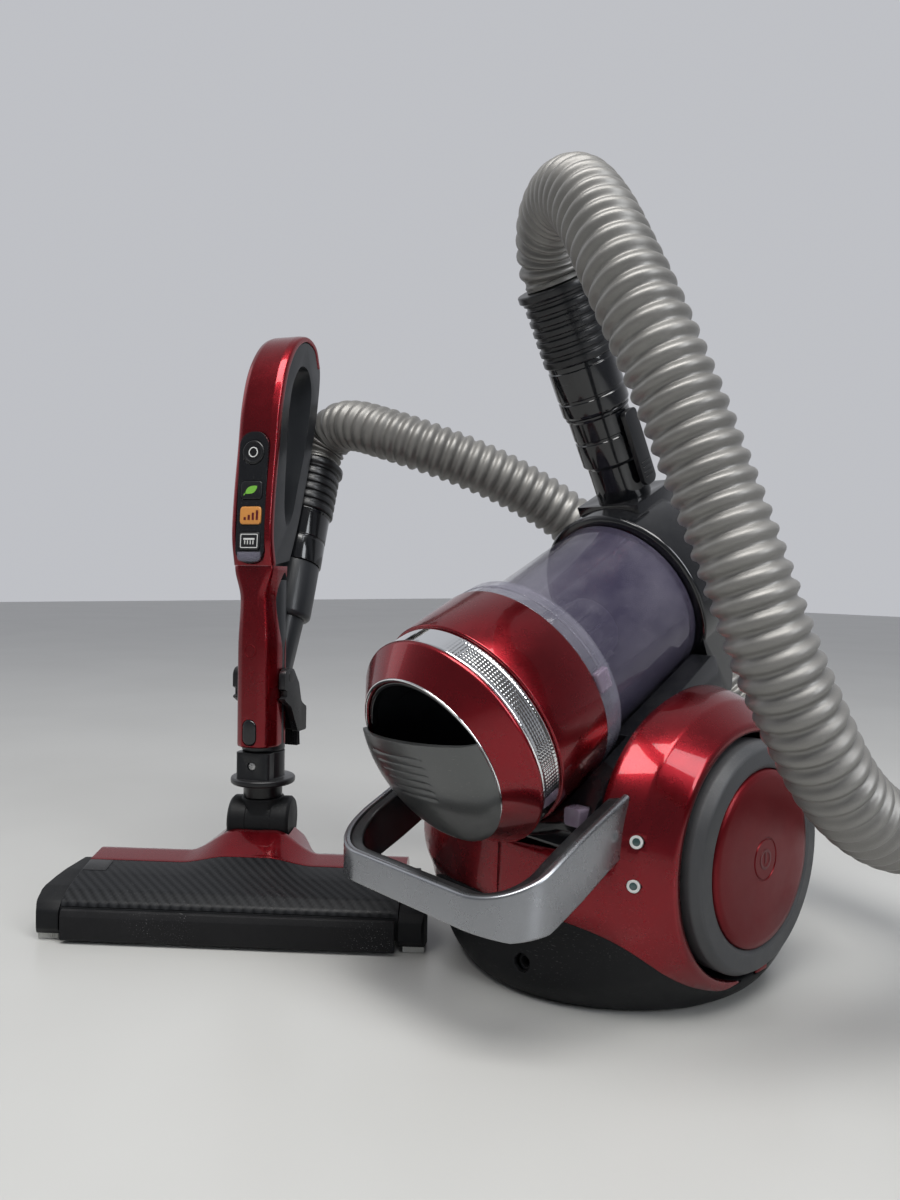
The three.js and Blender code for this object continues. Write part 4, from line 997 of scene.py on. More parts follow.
def build_cradle():
    side = fillet([(-104, 92.6), (25.5, 158.8), (25.5, 176), (14.5, 197.5), (-34, 168), (-88, 133),
                   (-98, 119), (-104, 105)], (2, 1, 4, 5, 30, 12, 8, 3), 6)
    room = lathe([(0, 0), (58.5, 0), (58.5, 88), (65.8, 88), (65.8, 240), (0, 240)], 128, closed=False)
    cradle = boolean("DIFFERENCE", prism(side, -63.9, 63.9, "x"), turned(room, CUP_LOCAL),
                     block(*BUTTON_POCKET))
    piece("cup_cradle", cradle, CANISTER, "canister", BLACK, "gloss_black", ["cup_cradle"], bevel=0.7,
          steps=3)
    key = prism(fillet(corners(48.3, 59.7, 108.3, 118.7), 2.2, 5), -105.8, -94, "y")
    piece("cup_release_button", key, CANISTER, "cup_release", LENS, "smoky_clear", ["cup_release_button"],
          bevel=1.1, steps=4)


# ---------------------------------------------------------------- carry handle
BAIL_HALF, BAIL_FRONT, BAIL_CORNER = 77, -177, 34
BAIL_TOP = [(-60, 134), (-70, 132), (-86, 127), (-120, 112), (-152, 96), (-168, 89.5), (-177, 86)]
BAIL_LOW = [(-60, 110), (-70, 104), (-97, 91), (-122, 78), (-146, 67), (-166, 65), (-177, 67.5)]


def bail(depth_out, depth_in, trim, corner):
    """A band round the front of the cup between two depths inside the handle's outer face."""
    path = [(BAIL_HALF, y) for y in np.linspace(-86, BAIL_FRONT + BAIL_CORNER, 15)]
    for angle in np.linspace(0, math.pi / 2, 16)[1:]:
        path.append((BAIL_HALF - BAIL_CORNER + BAIL_CORNER * math.cos(angle),
                     BAIL_FRONT + BAIL_CORNER - BAIL_CORNER * math.sin(angle)))
    path += [(x, BAIL_FRONT) for x in np.linspace(BAIL_HALF - BAIL_CORNER, 0, 8)[1:]]
    path = np.array(path + [(-x, y) for x, y in path[-2::-1]])
    tangent = np.gradient(path, axis=0)
    tangent /= np.linalg.norm(tangent, axis=1)[:, None]
    inward = np.stack([tangent[:, 1], -tangent[:, 0]], 1)
    rings = []
    for (x, y), (nx, ny) in zip(path, inward):
        top = float(np.interp(-y, [-p[0] for p in BAIL_TOP], [p[1] for p in BAIL_TOP])) - trim
        low = float(np.interp(-y, [-p[0] for p in BAIL_LOW], [p[1] for p in BAIL_LOW])) + trim
        section = fillet([(depth_out, low), (depth_out, top), (depth_in, top), (depth_in, low)], corner, 5)
        rings.append([(x + nx * d, y + ny * d, z) for d, z in section])
    return rings


def build_carry_handle():
    band = bail(0, 3.8, 0, (2.4, 2.4, 0.8, 0.8))
    lining = bail(3.85, 11.5, 1.2, 1.8)
    piece("carry_handle", loft(band), CANISTER, "canister", SILVER, "silver_paint", ["carry_handle"],
          angle=50)
    piece("carry_handle_lining", loft(lining), CANISTER, "canister", SATIN_BLACK, "gloss_black",
          ["carry_handle_lining"], angle=50)


# ---------------------------------------------------------------- hose coupling and cuffs
def cuff_shape(bore, radius, low, high, ribs):
    """A ribbed cuff with a flange at its hose end."""
    profile = [(bore, low), (radius - 0.6, low), (radius, low + 0.8)]
    pitch = (high - low - 8) / ribs
    for i in range(ribs):
        z = low + 1.6 + i * pitch
        profile += [(radius, z + pitch * 0.42), (radius - 1.5, z + pitch * 0.52),
                    (radius - 1.5, z + pitch * 0.84), (radius, z + pitch * 0.94)]
    profile += [(radius, high - 5.4), (radius + 1.8, high - 4.2), (radius + 1.8, high), (bore, high)]
    corners = [0, 0.4, 0.5] + [0.35] * (4 * ribs) + [0.8, 0.9, 0.9, 0]
    return lathe(fillet(profile, corners, 3), 112)


def build_coupling():
    body = fillet([(14, -4), (17.3, -4), (17.3, 26), (19.5, 28.5), (19.5, 44), (18.8, 44.6), (18.8, 46.2),
                   (19.5, 46.8), (19.5, 59), (20.5, 60.5), (20.5, 62), (14, 62)],
                  (0, 0.5, 1, 1, 0.2, 0.2, 0.2, 0.2, 0.5, 0.5, 0.5, 0), 3)
    shoulder = block(15, 20.1, -5, 5, 28, 36)
    shape = boolean("UNION", lathe(body, 112), shoulder)
    piece("hose_coupling", shape, COUPLING, "canister", BLACK, "gloss_black", ["hose_coupling"], angle=35)
    plate = prism(fillet(corners(-6.4, 6.4, 8.2, 57.8), (4.5, 4.5, 3, 3), 6), 20.5, 24.3, "x")
    ridges = [block(23.9, 24.9, -4.6, 4.6, 13 + 3.2 * i, 14.3 + 3.2 * i) for i in range(4)]
    piece("coupling_lever", joined(plate, *ridges), COUPLING, "lever", SATIN_BLACK, "gloss_black",
          ["coupling_lever"], bevel=0.7, steps=3)
    collar = fillet([(14, 62.3), (20.8, 62.3), (21.6, 64), (21.6, 72), (21.0, 72.5), (21.0, 74), (21.6, 74.5),
                     (21.6, 92), (20.9, 92.6), (20.9, 95.7), (14, 95.7)], 0.35, 3)
    piece("swivel_collar", lathe(collar, 112), COUPLING, "canister_swivel", BLACK, "gloss_black",
          ["swivel_collar"])
    piece("hose_cuff_canister", cuff_shape(14, 22.6, 96, 142, 6), COUPLING, "canister_swivel", SATIN_BLACK,
          "gloss_black", ["hose_cuff_canister"])


# ---------------------------------------------------------------- handle
GRIP_OUTER = [(-16, 246), (-19.5, 265), (-18, 292), (-13, 328), (-8, 362), (2, 391), (18, 411), (36, 419),
              (51, 415), (58, 401), (55, 370), (46, 336), (36, 306), (26, 280), (18, 262), (12, 250)]
GRIP_INNER = [(4, 284), (6, 330), (9, 360), (16, 383), (28, 396), (38, 395), (44, 383), (41, 360),
              (33, 330), (23, 303), (15, 282), (8, 275)]
GRIP_HALF, COVER_HALF = 13, 16
PANEL_MIDDLE = 296
PANEL = local_frame(HANDLE @ Vector((0, -17.6, PANEL_MIDDLE)), HANDLE_X,
                    HANDLE_X.cross(joint_axis("stop_press")))
PANEL_LOCAL = HANDLE.inverted() @ PANEL
DUCT_LOCAL = HANDLE.inverted() @ DUCT
PIPE_RADIUS = 15.5
KEYS = {"eco": 299, "power": 281, "brush": 263}
STOP_HEIGHT = 326


def panel_outline(grow):
    return fillet(corners(-11.3 - grow, 11.3 + grow, -48.6 - grow, 44.8 + grow), 10 + grow, 8)


def key_outline(grow, z):
    w, h = 8.3 + grow, 6.4 + grow
    return fillet(corners(-w, w, z - h, z + h), 2.4 + grow, 6)


def build_grip():
    outer = smooth_line(GRIP_OUTER, 110)
    hole = prism(smooth_line(GRIP_INNER, 90, True), -40, 40, "x")
    path = smooth_line(GRIP_OUTER[:10], 72)
    tangent = np.gradient(path, axis=0)
    tangent /= np.linalg.norm(tangent, axis=1)[:, None]
    outward = np.stack([-tangent[:, 1], tangent[:, 0]], 1)
    rebate = prism(np.vstack([path + outward * 8, (path - outward * 3.8)[::-1]]), -40, 40, "x")
    window = turned(prism(panel_outline(0.5), -20, 3.4, "y"), PANEL_LOCAL)
    core = boolean("DIFFERENCE", prism(outer, -GRIP_HALF, GRIP_HALF, "x"), hole, rebate, window)
    piece("grip_core", core, HANDLE, "canister", GRIP_GREY, "grip_grey", ["grip_core"], bevel=2.2, steps=5,
          angle=50)
    rings = []
    section = fillet([(-COVER_HALF, -3.2), (COVER_HALF, -3.2), (COVER_HALF, 1.6), (11, 3.4), (-11, 3.4),
                      (-COVER_HALF, 1.6)], (0.8, 0.8, 3.2, 6, 6, 3.2), 5)
    for i, ((y, z), (ny, nz)) in enumerate(zip(path, outward)):
        thin = float(smoothstep(i, len(path) * 0.55, len(path) - 1))
        depths = [(x * (1 - 0.17 * thin), d * (1 - 0.85 * thin) if d > 0 else d) for x, d in section]
        rings.append([(x, y + ny * d, max(z + nz * d, 246.05)) for x, d in depths])
    cover = boolean("DIFFERENCE", loft(rings), turned(prism(panel_outline(0.35), -20, 9, "y"), PANEL_LOCAL))
    piece("grip_cover", cover, HANDLE, "canister", RED, "candy_red", ["grip_cover"], bevel=0.4, steps=2,
          angle=50)


def build_panel():
    holes = [prism(key_outline(0.3, z - PANEL_MIDDLE), -8, 1.4, "y") for z in KEYS.values()]
    holes.append(moved(along_front(rod(8.9, -1.4, 8, 72)), 0, 0, STOP_HEIGHT - PANEL_MIDDLE))
    plate = boolean("DIFFERENCE", prism(panel_outline(0), -3, 3.9, "y"), *holes)
    piece("control_panel", plate, PANEL, "canister", BLACK, "gloss_black", ["control_panel"], bevel=0.5,
          steps=3)
    window = [prism(fillet(corners(-9.2, 9.2, -47.4, -40.7), (6.2, 6.2, 0.6, 0.6), 6), -3.6, -2, "y")]
    window += [block(-7.4 + 1.5 * i, -6.8 + 1.5 * i, -4.0, -3.5, -45.6, -41.2) for i in range(10)]
    piece("panel_light", joined(*window), PANEL, "canister", RIM_CLEAR, "smoky_clear", bevel=0.15, steps=2)

    z = STOP_HEIGHT - PANEL_MIDDLE
    button = lathe(fillet([(0, 3.3), (6.2, 3.5), (7.6, 4.0), (8.5, 3.3), (8.5, 0), (0, 0)],
                          (0, 4, 1, 0.6, 0.2, 0), 5), 96, closed=False)
    piece("stop_button", moved(along_front(button), 0, 0, z), PANEL, "stop_key", SATIN_BLACK, "gloss_black",
          ["stop_button"])
    ring = lathe(fillet(corners(2.9, 3.7, 3.2, 3.62), 0.12, 2), 64)
    piece("stop_icon", moved(along_front(ring), 0, 0, z), PANEL, "stop_key", WHITE_INK, "gloss_black")

    looks = {"eco": (SATIN_BLACK, "green_key"), "power": (ORANGE_KEY, "orange_key"),
             "brush": (SATIN_BLACK, "gloss_black")}
    for name, height in KEYS.items():
        look, slot = looks[name]
        key = prism(key_outline(0, height - PANEL_MIDDLE), -3.9, 0, "y")
        piece(f"{name}_button", key, PANEL, f"{name}_key", look, slot, [f"{name}_button"], bevel=0.8, steps=4)
    ink = (-4.02, -3.7)
    z = KEYS["eco"] - PANEL_MIDDLE
    leaf = smooth_line([(-4.6, z - 2.2), (-1.8, z + 2.2), (4.6, z + 2.6), (2.2, z - 1.8)], 40, True)
    stem = [(-6.2, z - 3.6), (-5.6, z - 3.9), (-3.6, z - 1.6), (-4.2, z - 1.2)]
    piece("eco_icon", joined(prism(leaf, *ink, "y"), prism(stem, *ink, "y")), PANEL, "eco_key", GREEN_INK,
          "green_key")
    z = KEYS["power"] - PANEL_MIDDLE
    bars = [block(-5.0 + 3.2 * i, -3.2 + 3.2 * i, *ink, z - 3.2, z - 1.2 + 1.6 * i) for i in range(4)]
    piece("power_icon", joined(*bars), PANEL, "power_key", FLAT_RED, "orange_key")
    z = KEYS["brush"] - PANEL_MIDDLE
    frame_ring = boolean("DIFFERENCE", prism(key_outline(-1.4, z), *ink, "y"),
                         prism(key_outline(-2.0, z), -6, 0, "y"))
    strokes = [block(-3.6 + 2.2 * i, -2.9 + 2.2 * i, *ink, z - 2.4, z + 0.4) for i in range(4)]
    bar = block(-4.4, 4.4, *ink, z + 0.8, z + 2.0)
    piece("brush_icon", joined(frame_ring, bar, *strokes), PANEL, "brush_key", WHITE_INK, "gloss_black")


def button_oval(grow, y0, y1):
    outline = fillet(corners(-5.4 - grow, 5.4 + grow, 117.8 - grow, 136.2 + grow), 5.3 + grow, 8)
    return prism(outline, y0, y1, "y")


def build_pipe():
    tube = lathe(fillet(corners(12.4, PIPE_RADIUS, 112, 236), (0, 1.2, 0.8, 0), 3), 112)
    duct = turned(lathe(fillet(corners(11, 19.5, -48, -4.3), (0, 6, 0.8, 0), 6), 96), DUCT_LOCAL)
    lower = turned(lathe([(11, -106), (12, -106), (15.2, -45), (11, -45)], 72), DUCT_LOCAL)
    pocket = moved(along_front(rod(9.6, 9, 30, 48)), 0, 0, 127)
    shape = boolean("DIFFERENCE", boolean("UNION", tube, duct, lower), pocket)
    piece("wand_pipe", shape, HANDLE, "canister", GRIP_GREY, "grip_grey", ["wand_pipe"], angle=45)

    rings = []
    below = np.array(fillet([(-15.6, 4), (-15.6, -8), (-12, -17.3), (-6, -20.6), (6, -20.6), (12, -17.3),
                             (15.6, -8), (15.6, 4)], (0.5, 9, 7, 6, 6, 7, 9, 0.5), 6))
    above = np.array(fillet([(-15.8, 4), (-16, -11), (-15.3, -17.2), (-11, -19.3), (11, -19.3), (15.3, -17.2),
                             (16, -11), (15.8, 4)], (0.5, 9, 3, 6, 6, 3, 9, 0.5), 6))
    for z in np.concatenate([[116, 116.4, 117.5], np.linspace(120, 190, 15), np.linspace(192, 245.95, 34)]):
        flare = float(smoothstep(z, 222, 245))
        waist = 1 - 0.13 * float(smoothstep(z, 185, 222)) * (1 - flare)
        lip = 0.7 if z < 116.2 else 0.3 if z < 117 else 0
        section = below + (above - below) * flare
        rings.append([(x * waist * (1 - lip / 16), y + (lip if y < 0 else 0), z) for x, y in section])
    cover = boolean("DIFFERENCE", loft(rings), rod(PIPE_RADIUS + 0.2, 100, 260), button_oval(0.3, -30, -10))
    piece("pipe_cover", cover, HANDLE, "canister", RED, "candy_red", ["pipe_cover"], bevel=0.4, steps=2,
          angle=45)
    piece("pipe_release_button", button_oval(0, -21.2, -16.4), HANDLE, "pipe_release", BLACK, "gloss_black",
          ["pipe_release_button"], bevel=1.4, steps=5)
    mark = lathe(fillet(corners(3.6, 5.0, 20.3, 20.9), 0.2, 3), 64)
    piece("pipe_cover_mark", moved(along_front(mark), 0, 0, 185), HANDLE, "canister", DISC_RED, "candy_red")
    collar = fillet([(13, -4), (20.5, -4), (20.5, 14), (19.9, 14.5), (19.9, 16), (20.5, 16.5), (20.5, 35.5),
                     (21.2, 37), (21.2, 38), (13, 38)], 0.4, 3)
    piece("hose_collar", lathe(collar, 112), DUCT, "canister", BLACK, "gloss_black", ["hose_collar"])
    piece("hose_cuff_handle", cuff_shape(13, 22.6, 38.3, 80, 5), DUCT, "handle_swivel", SATIN_BLACK,
          "gloss_black", ["hose_cuff_handle"])


def build_flip_brush():
    side = fillet([(-8, 172), (5, 172), (14, 160), (18, 146), (26, 141), (26, 124), (13, 124), (2, 144),
                   (-8, 150)], (6, 6, 6, 6, 4, 2, 3, 8, 3), 6)
    notch = prism([(-9, 150), (-4.5, 152), (-4.5, 156), (-9, 158)], 10, 30, "x")
    cheek = boolean("DIFFERENCE", prism(side, 16.4, 21.3, "x"), notch)
    bar = prism(fillet(corners(18.5, 26, 124, 142), 1.5), -21.3, 21.3, "x")
    boss = lathe(fillet(corners(0, 4.2, 21.1, 21.5), (0, 0.1, 0.3, 0)), 40, closed=False)
    boss = moved(along_x(boss), 0, 2, 166)
    tufts = []
    for row in (21, 23.8):
        tufts += [tuft(-16 + 2 * i, row, 112.2, 125, (0.8, 0.9), (0.5, 0.5)) for i in range(17)]
    body = boolean("UNION", bar, cheek, mirrored(cheek))
    piece("flip_brush", joined(body, boss, mirrored(boss)), HANDLE, "tip_brush", SATIN_BLACK, "gloss_black",
          ["flip_brush"], bevel=0.8, steps=3)
    piece("flip_brush_bristles", joined(*tufts), HANDLE, "tip_brush", RUBBER, "gloss_black")


def build_wand_joint():
    block_outline = fillet(corners(-13.3, 13.3, -17, 4), (3, 3, 1, 1), 5)
    stem = [(0, 78), (14, 78), (14, 87.8), (23.2, 87.8), (23.2, 92.4), (15.5, 92.4), (15.5, 111.6),
            (11.6, 112), (11.6, 126), (0, 126)]
    stem = lathe(fillet(stem, (0, 0.5, 1, 1.4, 1.4, 1, 0.8, 0.3, 1, 0), 4), 112, closed=False)
    shape = boolean("UNION", stem, prism(block_outline, 92, 111.6))
    recess = moved(along_front(rod(3.4, 15.6, 20, 32)), 0, 0, 102)
    piece("wand_joint", boolean("DIFFERENCE", shape, recess), HANDLE, "canister", SATIN_BLACK, "gloss_black",
          ["wand_joint"], bevel=0.6, steps=3)
    head = lathe(fillet([(0, 14), (2.9, 14), (2.9, 16.2), (0, 16.6)], (0, 0.1, 0.6, 0), 3), 32, closed=False)
    slot = [block(-2, 2, -0.45, 0.45, 15.9, 20), block(-0.45, 0.45, -2, 2, 15.9, 20)]
    screw = boolean("DIFFERENCE", head, *slot)
    piece("wand_joint_screw", moved(along_front(screw), 0, 0, 102), HANDLE, "canister", METAL, "bare_metal")


# ---------------------------------------------------------------- neck and floor head
NECK_BACK = 28
DRUM_HEIGHT, DRUM_RADIUS, DRUM_HALF = 60, 17.5, 22.5
HEAD_HALF = 128
HULL_HALF = HEAD_HALF - 18
HEAD_SPLIT = 22.65
HEAD_SEAM = -14.15
CHAMBER = {"y": -32, "z": 17, "radius": 15}


def build_neck():
    drum = lathe(fillet([(0, -22.4), (15.5, -22.4), (DRUM_RADIUS, -20.4), (DRUM_RADIUS, -9.3), (16.9, -8.9),
                         (16.9, 8.9), (DRUM_RADIUS, 9.3), (DRUM_RADIUS, 20.4), (15.5, 22.4), (0, 22.4)],
                        (0, 1, 1.4, 0.4, 0.4, 0.4, 0.4, 1.4, 1, 0), 4), 96, closed=False)
    post = lathe(fillet(corners(0, 15.5, 0, 17.7), (0, 0, 1.2, 0), 4), 96, closed=False)
    piece("neck_drum", boolean("UNION", along_x(drum), post), NECK, "neck", CHARCOAL, "charcoal_plastic",
          ["neck_drum"], angle=40)


HEAD_CORNERS = (0, 6, 6, 12, 30, 22, 12, 8, 6, 2)
HEAD_LOW = fillet([(-57, 8), (-58, 20), (-56.5, 25.5), (-48, 31), (-30, 36.5), (-12, 40.5), (6, 43),
                   (14, 39.5), (18, 28), (18, 8)], HEAD_CORNERS, 6)
HEAD_HIGH = fillet([(-57, 8), (-58, 20), (-56.5, 25.5), (-48, 31), (-30, 37.5), (-12, 46), (8, 57.5),
                    (32, 58.4), (51, 42), (51, 8)], HEAD_CORNERS, 6)
HEAD_REAR = 43                       # the first point of those outlines behind the ridge


def head_side(x):
    """The head's side outline at one place along it: low at both ends, a smooth hill in the middle."""
    low, high = np.array(HEAD_LOW), np.array(HEAD_HIGH)
    outline = low + (high - low) * smoothstep(abs(x), 47, 13)
    outline[HEAD_REAR:, 0] = (low + (high - low) * smoothstep(abs(x), 44, 29))[HEAD_REAR:, 0]
    return outline


def head_solid():
    outer = [*np.linspace(52, 104, 14), HULL_HALF - 2.4, HULL_HALF - 0.8, HULL_HALF]
    stations = [-x for x in outer[::-1]] + [*np.linspace(-50, 50, 81)] + outer
    full = loft([[(x, y, z) for y, z in head_side(x)] for x in stations])
    chamber = moved(along_x(rod(CHAMBER["radius"] + 2, -106, 106)), 0, CHAMBER["y"], CHAMBER["z"])
    mouth = block(-106, 106, CHAMBER["y"] - 14, CHAMBER["y"] + 14, -2, 18)
    motor_room = block(-100, 100, -8, 13, 11, 34)
    drum = moved(along_x(rod(DRUM_RADIUS + 1, -DRUM_HALF - 1, DRUM_HALF + 1)), 0, NECK_BACK, DRUM_HEIGHT)
    post = moved(rod(19.5, 55, 140), 0, NECK_BACK, 0)
    above = block(-DRUM_HALF - 1, DRUM_HALF + 1, NECK_BACK - 16, NECK_BACK + 60, DRUM_HEIGHT, 140)
    return boolean("DIFFERENCE", full, chamber, mouth, motor_room, drum, post, above)


def build_head():
    full = head_solid()
    lower = block(-200, 200, -100, 100, -10, HEAD_SPLIT - 0.15)
    upper = block(-200, 200, -100, 100, HEAD_SPLIT + 0.15, 120)
    front = block(-190, 190, -90, HEAD_SEAM - 0.15, -5, 110)
    rear = block(-190, 190, HEAD_SEAM + 0.15, 95, -5, 110)
    top = boolean("INTERSECT", full, upper)
    for name, shape, look, slot in (
            ("head_base", boolean("INTERSECT", full, lower), CHARCOAL, "charcoal_plastic"),
            ("head_front_panel", boolean("INTERSECT", top, front), WEAVE, "charcoal_plastic"),
            ("head_cover", boolean("INTERSECT", top, rear), RED, "candy_red")):
        piece(name, shape, HEAD, "head", look, slot, [name], bevel=0.45, steps=3, angle=36)
    tile = prism(fillet(corners(-HULL_HALF + 0.6, -HULL_HALF + 17, -28, -15), 1, 4), 20, 60)
    skin = boolean("INTERSECT", moved(top, 0, 0, 0.35), tile)
    piece("head_access_tile", skin, HEAD, "head", SATIN_BLACK, "charcoal_plastic", bevel=0.2, steps=2,
          angle=36)


def build_head_parts():
    inner = HEAD_HALF - 17.6
    side = fillet([(-56, 4.2), (-60, 9), (-60, 20), (-55, 26), (-42, 31), (-20, 35), (0, 37), (12, 32),
                   (16, 24), (16, 8), (13, 0.2), (-36, 0.2), (-41, 4.2)],
                   (2, 3, 6, 8, 12, 20, 8, 6, 6, 4, 2, 1, 1), 5)
    plan = fillet([(inner - 1, -70), (HEAD_HALF - 7, -70), (HEAD_HALF - 1.5, -56), (HEAD_HALF, -46),
                   (HEAD_HALF - 2, -30), (HEAD_HALF - 12, 16), (HEAD_HALF - 14, 20), (inner - 1, 20)],
                  (0, 2, 6, 8, 14, 4, 3, 0), 6)
    cap = boolean("INTERSECT", prism(side, inner, HEAD_HALF, "x"), prism(plan, -2, 60))
    for name, shape in (("end_cap_right", cap), ("end_cap_left", mirrored(cap))):
        piece(name, shape, HEAD, "head", CHARCOAL, "charcoal_plastic", [name], bevel=1.6, steps=4, angle=40)
    fringe = []
    for side_sign in (-1, 1):
        for i in range(11):
            for row in (-54, -51.5, -49):
                x = side_sign * (inner + 3 + i * 1.25)
                fringe.append(tuft(x, row, 0.4, 7, (0.5, 0.5), (0.4, 0.4)))
    piece("edge_bristles", joined(*fringe), HEAD, "head", PAPER, "brush_bristle")
    motor = lathe(fillet([(0, 0), (4, 0), (4, 3), (9, 3), (9, 44), (7, 46), (7, 52), (2, 52), (2, 60),
                          (0, 60)], (0, 1, 0.3, 1, 2, 1, 1, 0.3, 0.3, 0), 3), 64, closed=False)
    piece("brush_motor", moved(along_x(motor), -88, 2.5, 22), HEAD, "head", METAL, "bare_metal",
          ["brush_motor"])
    pad = prism(fillet([(19, 24), (40, 24), (40, 29.5), (36, 33.8), (19, 33.8)], (1, 2, 3, 6, 2), 5), 44,
                70, "x")
    grooves = [block(46, 68, 23 + 3.4 * i, 24 + 3.4 * i, 33.2, 36) for i in range(4)]
    piece("release_pedal", boolean("DIFFERENCE", pad, *grooves), HEAD, "pedal", SATIN_BLACK, "gloss_black",
          ["release_pedal"], bevel=0.8, steps=3)
    strip = prism(fillet([(-58.6, 22), (-61.5, 22), (-63, 18), (-63, 3), (-60, 1.5), (-58.6, 3)],
                         (0.3, 1, 1.5, 1.2, 0.8, 0.3), 4), -108, 108, "x")
    piece("bumper_flap", strip, HEAD, "flap", RUBBER, "tyre_rubber", ["bumper_flap"], bevel=0.5)


def build_brush_roll():
    hub = lathe(fillet([(0, -104), (5, -104), (5, -100), (8.6, -100), (8.6, 100), (5, 100), (5, 104),
                        (0, 104)], (0, 0.5, 0.5, 0.8, 0.8, 0.5, 0.5, 0), 3), 64, closed=False)
    rows = []
    for start in range(4):
        for i in range(58):
            x = -98 + i * 3.44
            angle = start * math.pi / 2 + abs(x) / 98 * 1.4
            bristles = loft([[(x - w, y, -d), (x + w, y, -d), (x + w, y, d), (x - w, y, d)]
                             for y, w, d in ((7.6, 0.9, 1.0), (14.8, 1.5, 1.3))])
            rows.append(turned(bristles, Matrix.Rotation(angle, 4, "X")))
    place = (0, CHAMBER["y"], CHAMBER["z"])
    piece("brush_roll", moved(along_x(hub), *place), HEAD, "roll", GRIP_GREY, "brush_bristle", ["brush_roll"])
    piece("brush_roll_bristles", moved(joined(*rows), *place), HEAD, "roll", RUBBER, "brush_bristle")


# ---------------------------------------------------------------- inside the casing
def build_inside():
    housing = lathe(fillet([(12, -26), (26, -26), (38, -16), (38, 8), (30, 10), (30, 56), (6, 56), (6, 53),
                            (27, 53), (27, 7), (35.5, 5), (35.5, -14), (24, -23.5), (12, -23.5)],
                           (0.8, 3, 3, 1.5, 1.5, 3, 0.8, 0.5, 1, 1, 1, 2, 1, 0.5), 4), 96)
    ribs = [turned(block(29, 31.5, -1, 1, 12, 52), Matrix.Rotation(math.pi * i / 6, 4, "Z"))
            for i in range(12)]
    motor_place = (0, -20, 56)
    piece("motor_housing", moved(along_x(joined(housing, *ribs)), *motor_place), CANISTER, "canister",
          CHARCOAL, "charcoal_plastic", ["motor_housing"])
    spindle = lathe(fillet(corners(0, 4, -10, 58), (0, 0.5, 0.5, 0), 2), 40, closed=False)
    plates = [lathe(fillet(corners(4, 32, a, a + 1), 0.2, 2), 96) for a in (-11, -3)]
    blades = []
    for i in range(9):
        curve = [(8 + 24 * t, 10 * t * t) for t in np.linspace(0, 1, 8)]
        outline = curve + [(x, y + 1.2) for x, y in curve[::-1]]
        blades.append(turned(prism(outline, -10.2, -2.8), Matrix.Rotation(2 * math.pi * i / 9, 4, "Z")))
    stack = lathe(fillet([(4, 12), (20, 12), (20, 40), (14, 42), (14, 48), (4, 48)], 0.6, 3), 72)
    piece("motor_impeller", moved(along_x(joined(spindle, *plates, *blades, stack)), *motor_place), CANISTER,
          "impeller", METAL, "bare_metal", ["motor_impeller"])
    drum = [(8, -73), (45, -73), (45, -71), (37, -71)]
    for i in range(6):
        centre = -68 + 6 * i
        drum += [(36.6 + 0.4 * math.sin(a), centre - 3 * math.cos(a))
                 for a in np.linspace(0.15, math.pi - 0.15, 6)]
    drum += [(37, -35), (45, -35), (45, -33), (8, -33)]
    piece("cord_reel", moved(along_x(lathe(drum, 96)), 0, -20, 53), CANISTER, "reel", GRIP_GREY, "grip_grey",
          ["cord_reel"])
    board = prism(fillet(corners(-58, 58, 86, 136), 2), 33, 34.6, "y")
    piece("circuit_board", board, CANISTER, "canister", BOARD, "board_green", ["circuit_board"], bevel=0.2)
    parts = [prism(fillet(corners(x, x + w, z, z + h), 0.8, 3), 27, 33.2, "y")
             for x, z, w, h in ((-50, 92, 18, 14), (-24, 90, 10, 24), (0, 96, 22, 16), (30, 92, 14, 34))]
    piece("circuit_parts", joined(*parts), CANISTER, "canister", SATIN_BLACK, "board_green", bevel=0.4)
    folds = []
    for i in range(30):
        folds.append((-42 + 84 * i / 29, 32 if i % 2 else 44))
    folds += [(x, y + 1.2) for x, y in folds[::-1]]
    rim = boolean("DIFFERENCE", prism(fillet(corners(-44, 44, 22, 82), 3), 30, 46, "y"),
                  block(-42, 42, 20, 60, 24, 80))
    piece("exhaust_filter", joined(rim, prism(folds, 24, 80)), CANISTER, "canister", PAPER, "filter_paper",
          ["exhaust_filter"])


build_tower()
build_cradle()
build_carry_handle()
build_coupling()
build_grip()
build_panel()
build_pipe()
build_flip_brush()
build_wand_joint()
build_neck()
build_head()
build_head_parts()
build_brush_roll()
build_inside()


# ---------------------------------------------------------------- surroundings
def build_stage():
    floor_mesh = bpy.data.meshes.new("floor")
    floor_mesh.from_pydata([(-6, -6, 0), (6, -6, 0), (6, 6, 0), (-6, 6, 0)], [], [(0, 1, 2, 3)])
    floor = bpy.data.objects.new("floor", floor_mesh)
    bpy.context.scene.collection.objects.link(floor)
    g = Graph("floor")
    g.link(g.mix(g.spread(g.noise(3, 3), 0.3, 0.7), (0.46, 0.46, 0.445), (0.50, 0.50, 0.485)),
           g.shader.inputs["Base Color"])
    g.shader.inputs["Roughness"].default_value = 0.32
    g.shader.inputs["Specular IOR Level"].default_value = 0.3
    floor.data.materials.append(g.material)


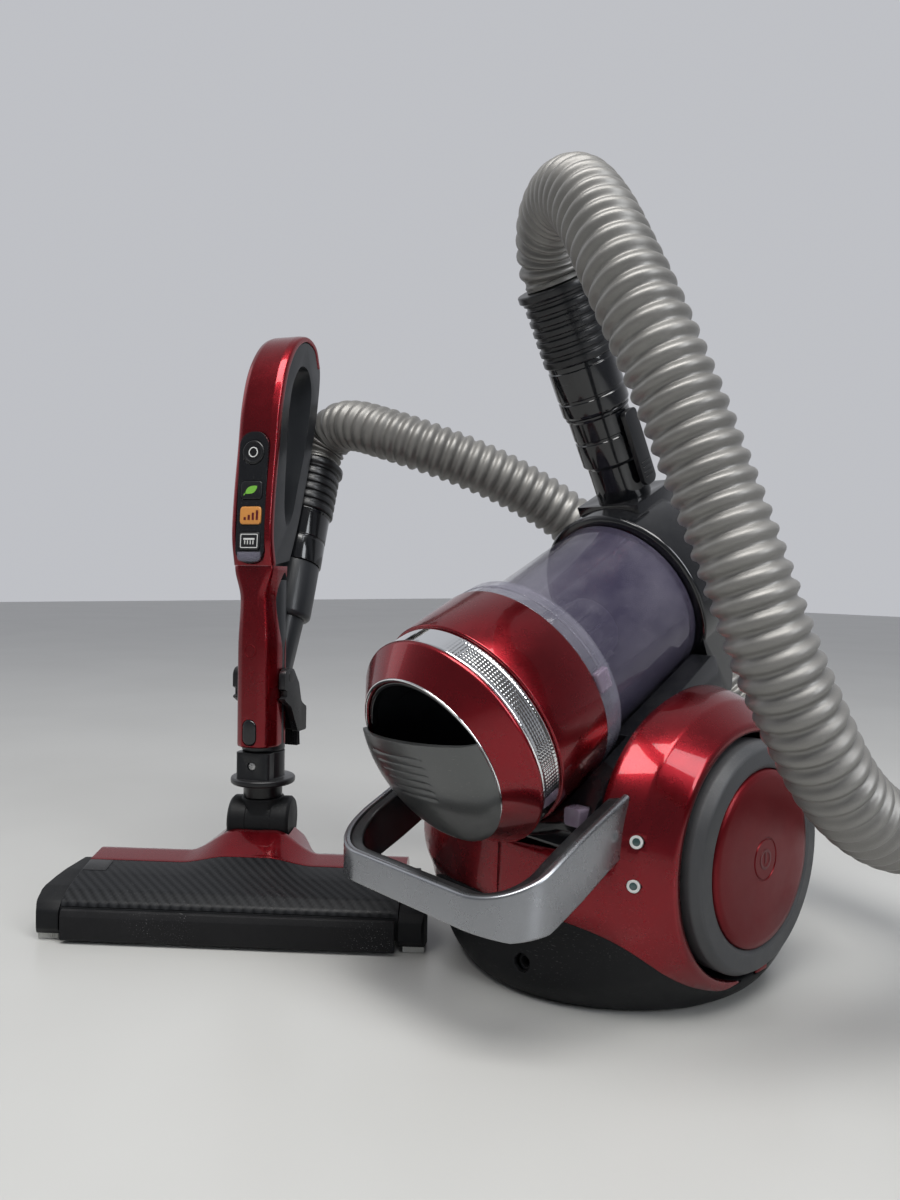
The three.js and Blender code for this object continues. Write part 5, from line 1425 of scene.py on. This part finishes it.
def area_light(name, place, target, size, power, colour=(1, 1, 1)):
    data = bpy.data.lights.new(name, "AREA")
    data.shape = "RECTANGLE"
    data.size, data.size_y = size
    data.energy = power
    data.color = colour
    light = bpy.data.objects.new(name, data)
    light.location = place
    light.rotation_euler = (Vector(target) - Vector(place)).to_track_quat("-Z", "Y").to_euler()
    bpy.context.scene.collection.objects.link(light)


def build_light():
    """A pale wall behind the object, a dimmer room before it, and three soft lamps."""
    world = bpy.data.worlds.new("studio")
    bpy.context.scene.world = world
    world.use_nodes = True
    tree = world.node_tree
    direction = tree.nodes.new("ShaderNodeTexCoord").outputs["Generated"]
    toward_wall = tree.nodes.new("ShaderNodeVectorMath")
    toward_wall.operation = "DOT_PRODUCT"
    toward_wall.inputs[1].default_value = (-math.cos(CAMERA_TURN), math.sin(CAMERA_TURN), 0.0)
    tree.links.new(direction, toward_wall.inputs[0])
    fade = tree.nodes.new("ShaderNodeMapRange")
    fade.interpolation_type = "SMOOTHSTEP"
    for key, value in (("From Min", -0.45), ("From Max", 0.55), ("To Min", 0.0), ("To Max", 1.0)):
        fade.inputs[key].default_value = value
    tree.links.new(toward_wall.outputs["Value"], fade.inputs["Value"])
    shade = tree.nodes.new("ShaderNodeMix")
    shade.data_type = "RGBA"
    shade.inputs["A"].default_value = (0.17, 0.175, 0.19, 1)
    shade.inputs["B"].default_value = (0.52, 0.53, 0.56, 1)
    tree.links.new(fade.outputs["Result"], shade.inputs["Factor"])
    tree.links.new(shade.outputs["Result"], tree.nodes["Background"].inputs["Color"])
    middle = (0.05, 0.05, 0.2)
    area_light("overhead", (0.5, -0.5, 1.7), middle, (1.5, 0.8), 34, (1.0, 0.99, 0.97))
    area_light("window", (1.7, 0.1, 1.1), middle, (0.5, 1.3), 15, (0.93, 0.96, 1.0))
    area_light("left_wall", (-1.6, -0.9, 1.0), middle, (0.6, 1.3), 2, (0.96, 0.98, 1.0))
    bpy.context.scene.view_settings.view_transform = "Standard"


build_stage()
build_light()
